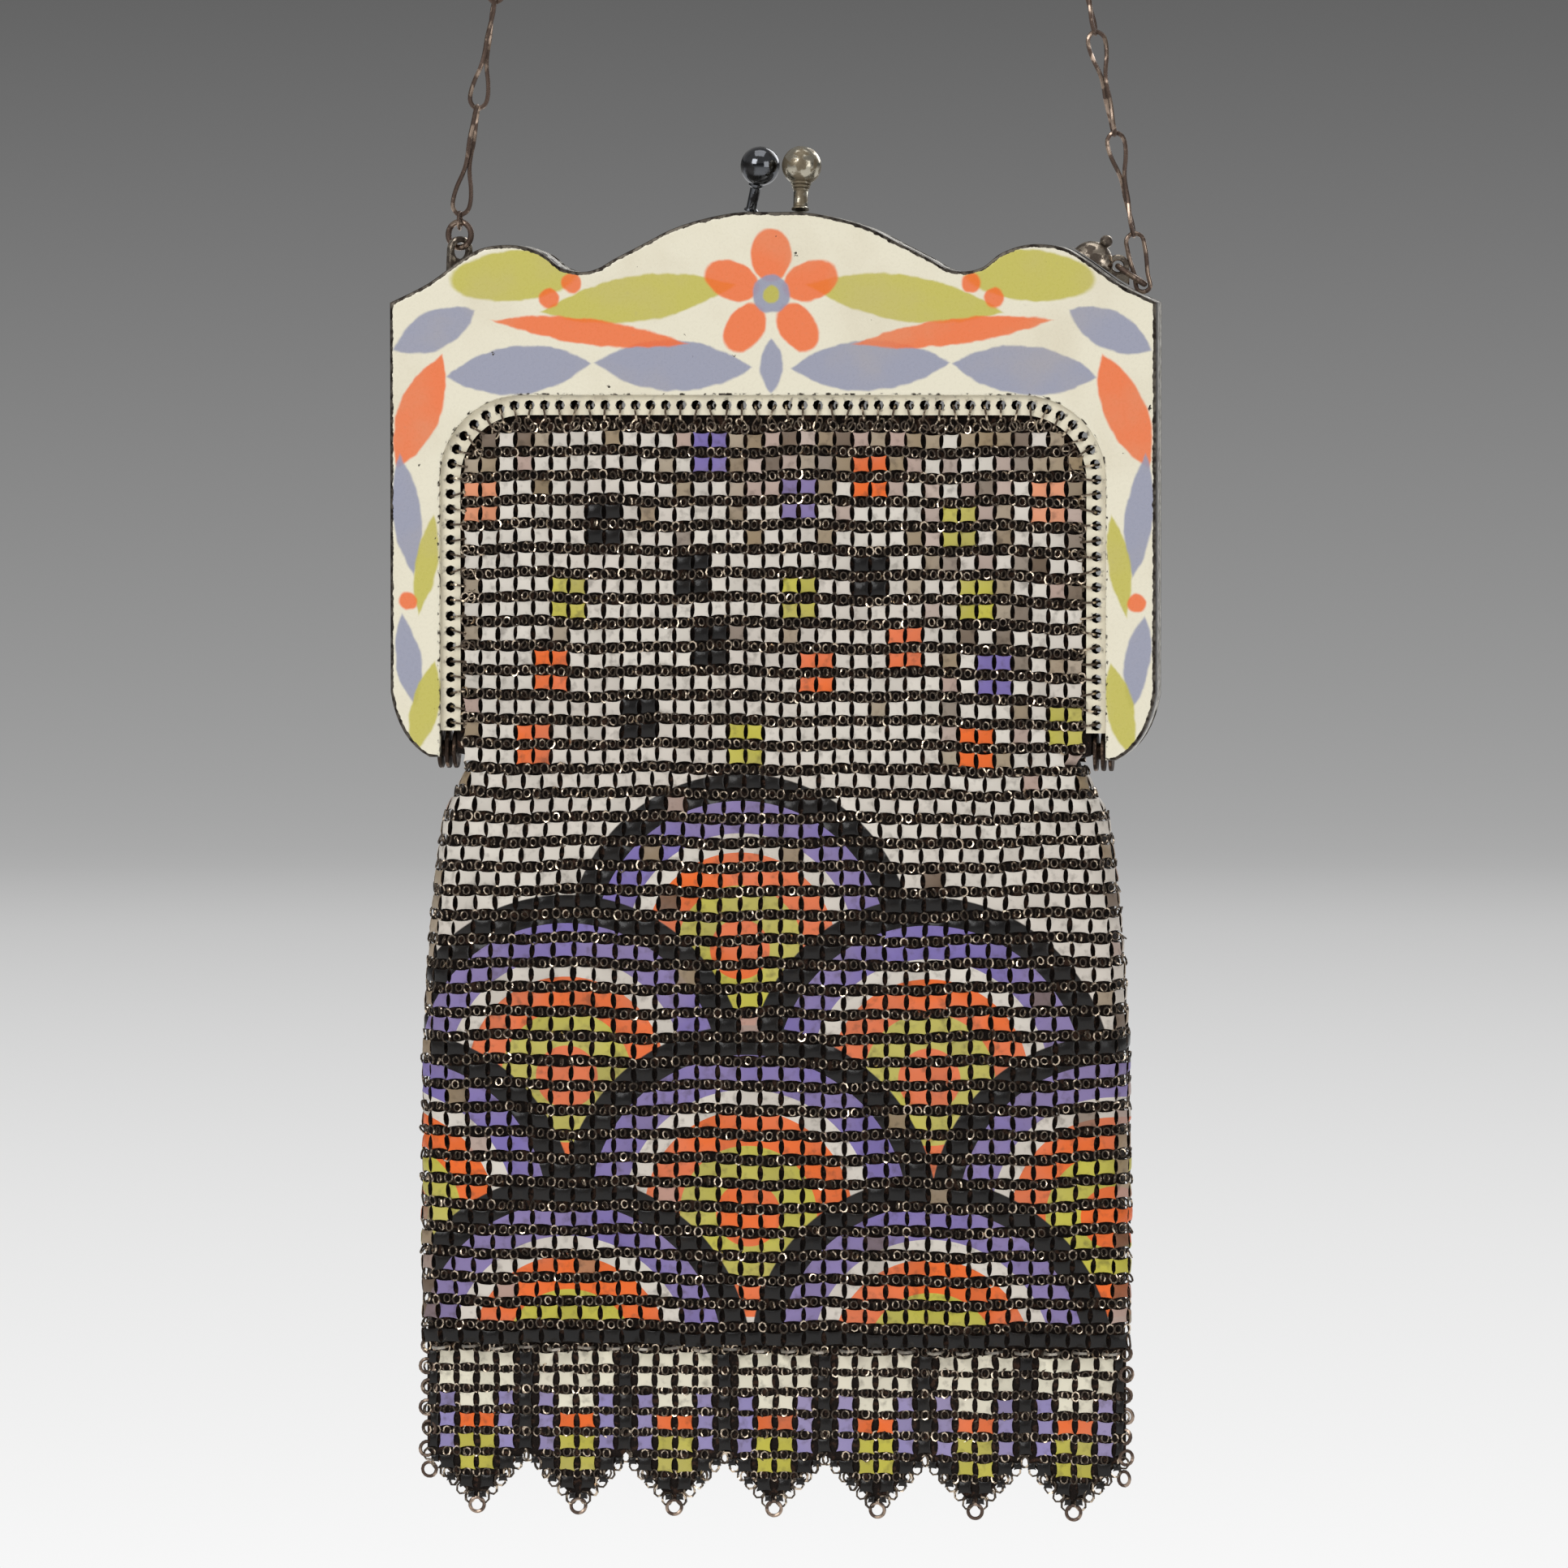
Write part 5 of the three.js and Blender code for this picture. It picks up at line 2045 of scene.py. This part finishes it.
@dataclass
class LinkChain:
    """The chain of pinched wire links, from the left ring over the top to the right ring."""

    ears: EarsAndRings
    repeater: Repeater
    wire: float = 0.6
    loop_width: float = 2.9
    link_length: float = 13.8
    drop_length: float = 7.6
    jump_radius: float = 1.1
    jump_wire: float = 0.5
    bite: float = 0.4
    bend_x: float = 11.5
    bend_down: float = 12.4
    crown_x: float = 6.9
    link_rows: tuple[tuple[float, float], ...] = (
        (0.1, 0.27),
        (0.28, 0.46),
        (0.48, 0.78),
        (0.72, 1.0),
        (0.9, 0.84),
        (1.0, 0.0),
    )
    drop_rows: tuple[tuple[float, float], ...] = (
        (-1.0, 0.0),
        (-0.86, 0.78),
        (-0.4, 0.76),
        (0.1, 0.95),
        (0.5, 1.0),
        (0.84, 0.9),
        (1.0, 0.0),
    )

    @property
    def reach(self) -> float:
        """How far a wire goes past its bearing point."""
        return self.wire / 2 * (1 - self.bite)

    def _outline(self, rows: Sequence[tuple[float, float]], length: float, twist: float) -> list[Vector]:
        """A link's wire, upright and centred.

        Args:
            rows: Height and spread from the lower end to the upper end, as shares.
            length: Its length between the wire's middles at both ends.
            twist: The turn from its lower loop to its upper one, in degrees.

        Returns:
            The points of its middle line.
        """
        most = (self.loop_width - self.wire) / 2

        def spot(up: float, out: float) -> Vector:
            """A point of the wire."""
            angle = math.radians(twist / 2 * max(-1.0, min(1.0, up / 0.6)))
            return Vector((out * most * math.cos(angle), out * most * math.sin(angle), up * length / 2))

        rising = [spot(up, out) for up, out in rows]
        falling = [spot(up, -out) for up, out in reversed(rows[1:-1])]
        return smooth_loop(rising + falling, 3)

    def _full_rows(self) -> list[tuple[float, float]]:
        """All the rows of a figure-eight link."""
        return [(-up, out) for up, out in reversed(self.link_rows)] + list(self.link_rows)

    def _strand(self, places: Places, start: Vector, end: Vector, roll: float, last_reach: float) -> None:
        """Sets a row of links between two points.

        Args:
            places: Where the links are gathered.
            start: The first bearing point.
            end: The last bearing point.
            roll: How far the links are turned about the strand, in degrees.
            last_reach: How far the last link goes past its bearing point.
        """
        count = max(1, round((end - start).length / self.link_length))
        for i in range(count):
            low, high = start.lerp(end, i / count), start.lerp(end, (i + 1) / count)
            way = (high - low).normalized()
            low = low - way * self.reach
            high = high + way * (last_reach if i == count - 1 else self.reach)
            across = Vector((0, 1, 0)).cross(way).normalized()
            sway = Matrix.Rotation(math.radians(roll + 12 * math.sin(1.7 * i)), 3, way)
            across = sway @ across
            stretch = (high - low).length / self.link_length
            places.put((low + high) / 2, across, way.cross(across), (1.0, 1.0, stretch))

    def build(self) -> None:
        """Makes both strands and the link across the top."""
        link = tube(self._outline(self._full_rows(), self.link_length, 90), self.wire / 2, 7)
        ears = self.ears
        ring_top = ears.left_ring_centre().z + ears.ring_radius
        height = ring_top - (ears.ring_wire + self.jump_wire) / 2 - CLEARANCE + self.jump_radius
        jump_centre = Vector((ears.left_ring_centre().x, ears.seat, height))
        top = jump_centre + Vector((0, 0, self.jump_radius - self.wire / 4))
        bends = {way: Vector((way * self.bend_x, 0, HANG_HEIGHT - self.bend_down)) for way in (-1, 1)}
        crowns = {way: Vector((way * self.crown_x, 0, HANG_HEIGHT)) for way in (-1, 1)}
        left = Places()
        self._strand(left, top, bends[-1], 45, self.reach)
        self._strand(left, bends[-1], crowns[-1], 45, self.reach)
        self._strand(left, crowns[-1], crowns[1], 45, self.reach)
        piece = self.repeater.run("chain_left_links", left, link, WIRE.material())
        settle(piece, "chain_metal", "chain_left")
        jump = ring_path(jump_centre, Vector((0, self.jump_radius, 0)), Vector((0, 0, self.jump_radius)), 32)
        jump_piece = make_piece("chain_left_jump_ring", tube(jump, self.jump_wire / 2, 10), WIRE.material())
        settle(jump_piece, "chain_metal", "chain_left")
        ring_end = ears.right_eye() + ears.side_way() * ears.side_ring_length
        low = ring_end - Vector((0, 0, (ears.ring_wire + self.wire) / 2 + CLEARANCE))
        way = (bends[1] - low).normalized()
        drop_top = low + way * self.drop_length
        right = Places()
        self._strand(right, drop_top, bends[1], -45, self.reach)
        self._strand(right, bends[1], crowns[1], -45, self.wire + CLEARANCE)
        piece = self.repeater.run("chain_right_links", right, link, WIRE.material())
        settle(piece, "chain_metal", "chain_right")
        drop = Places()
        high = drop_top + way * self.reach
        across = Vector((0, 1, 0)).cross(way).normalized()
        drop.put((low + high) / 2, across, way.cross(across))
        shape = tube(self._outline(self.drop_rows, (high - low).length, 0), self.wire / 2, 10)
        piece = self.repeater.run("chain_right_drop_loop", drop, shape, WIRE.material())
        settle(piece, "chain_metal", "chain_right")


# The studio


@dataclass
class Studio:
    """The sweep, the soft lights and the camera."""

    floor: float = -0.405
    sweep_start: float = 2.4
    sweep_radius: float = 1.2
    azimuth: float = 6.8
    elevation: float = 2.5
    distance: float = 1.25
    view_width: float = 0.2059
    target: Point = (1.7, -4.5, -3.3)

    def _sweep(self) -> None:
        """A round floor that curves up into a wall all round the purse."""
        steps = 64
        rows = [(out, out, 0.0) for out in np.linspace(0.01, self.sweep_start, 20)]
        for i in range(1, 25):
            angle = math.pi / 2 * i / 24
            radius = self.sweep_start + self.sweep_radius * math.sin(angle)
            rise = self.sweep_radius * (1 - math.cos(angle))
            rows.append((self.sweep_start + self.sweep_radius * angle, radius, rise))
        rings = []
        marks: list[float] = []
        for out, radius, rise in rows:
            up = 1000 * (self.floor + rise) + HANG_HEIGHT
            angles = [2 * math.pi * i / steps for i in range(steps)]
            rings.append([(1000 * radius * math.cos(a), 1000 * radius * math.sin(a), up) for a in angles])
            marks.extend([float(out)] * steps)
        shape = loft(rings, True, False)
        shape.faces.append(tuple(range(steps)))
        shape.marks = marks
        make_piece("studio_sweep", shape, Backdrop().material(), "way_out")

    def _light(self, name: str, where: Point, aim: Point, size: float, power: float) -> None:
        """A soft square light.

        Args:
            name: Its name.
            where: Its place in metres.
            aim: What it points at.
            size: Its width in metres.
            power: Its power in watts.
        """
        lamp = bpy.data.lights.new(name, "AREA")
        lamp.size = size
        lamp.energy = power
        holder = bpy.data.objects.new(name, lamp)
        holder.location = where
        holder.rotation_euler = (Vector(where) - Vector(aim)).to_track_quat("Z", "Y").to_euler()
        holder.visible_camera = False
        bpy.context.collection.objects.link(holder)

    def _camera(self) -> None:
        """The camera at the photograph's angle."""
        camera = bpy.data.cameras.new("camera")
        camera.sensor_width = 36.0
        camera.lens = 36.0 * self.distance / self.view_width
        camera.clip_start = 0.05
        holder = bpy.data.objects.new("camera", camera)
        a, e = math.radians(self.azimuth), math.radians(self.elevation)
        back = Vector((math.sin(a) * math.cos(e), -math.cos(a) * math.cos(e), math.sin(e)))
        aim = Vector(place(self.target))
        holder.location = aim + back * self.distance
        holder.rotation_euler = back.to_track_quat("Z", "Y").to_euler()
        bpy.context.collection.objects.link(holder)
        bpy.context.scene.camera = holder

    def build(self) -> None:
        """Sets up the studio."""
        self._sweep()
        middle = (0.0, 0.0, -0.27)
        self._light("key", (-0.55, -0.95, 0.35), middle, 0.6, 6.0)
        self._light("fill", (0.8, -0.8, 0.0), middle, 0.6, 2.5)
        self._light("top", (0.0, -0.1, 0.65), middle, 0.7, 2.5)
        self._light("rear", (0.5, 1.0, 0.3), middle, 0.7, 5.0)
        world = bpy.data.worlds.new("studio")
        world.use_nodes = True
        shade = world.node_tree.nodes["Background"]
        shade.inputs["Color"].default_value = (0.83, 0.82, 0.81, 1.0)
        shade.inputs["Strength"].default_value = 0.35
        bpy.context.scene.world = world
        bpy.context.scene.view_settings.view_transform = "Standard"
        self._camera()


def main() -> None:
    """Builds the purse piece by piece."""
    logging.basicConfig(level=logging.INFO, format="%(message)s")
    Studio().build()
    outline = FrameOutline()
    repeater = Repeater()
    EnamelledFrame(outline).build()
    PiercedRails(outline, repeater).build()
    mesh = PlateMesh(BagForm(), repeater)
    mesh.build()
    MeshFringe(mesh, repeater).build()
    SnapClasp().build()
    RibbedHinges(outline).build()
    ears = EarsAndRings(outline)
    ears.build()
    LinkChain(ears, repeater).build()


if __name__ == "__main__":
    main()
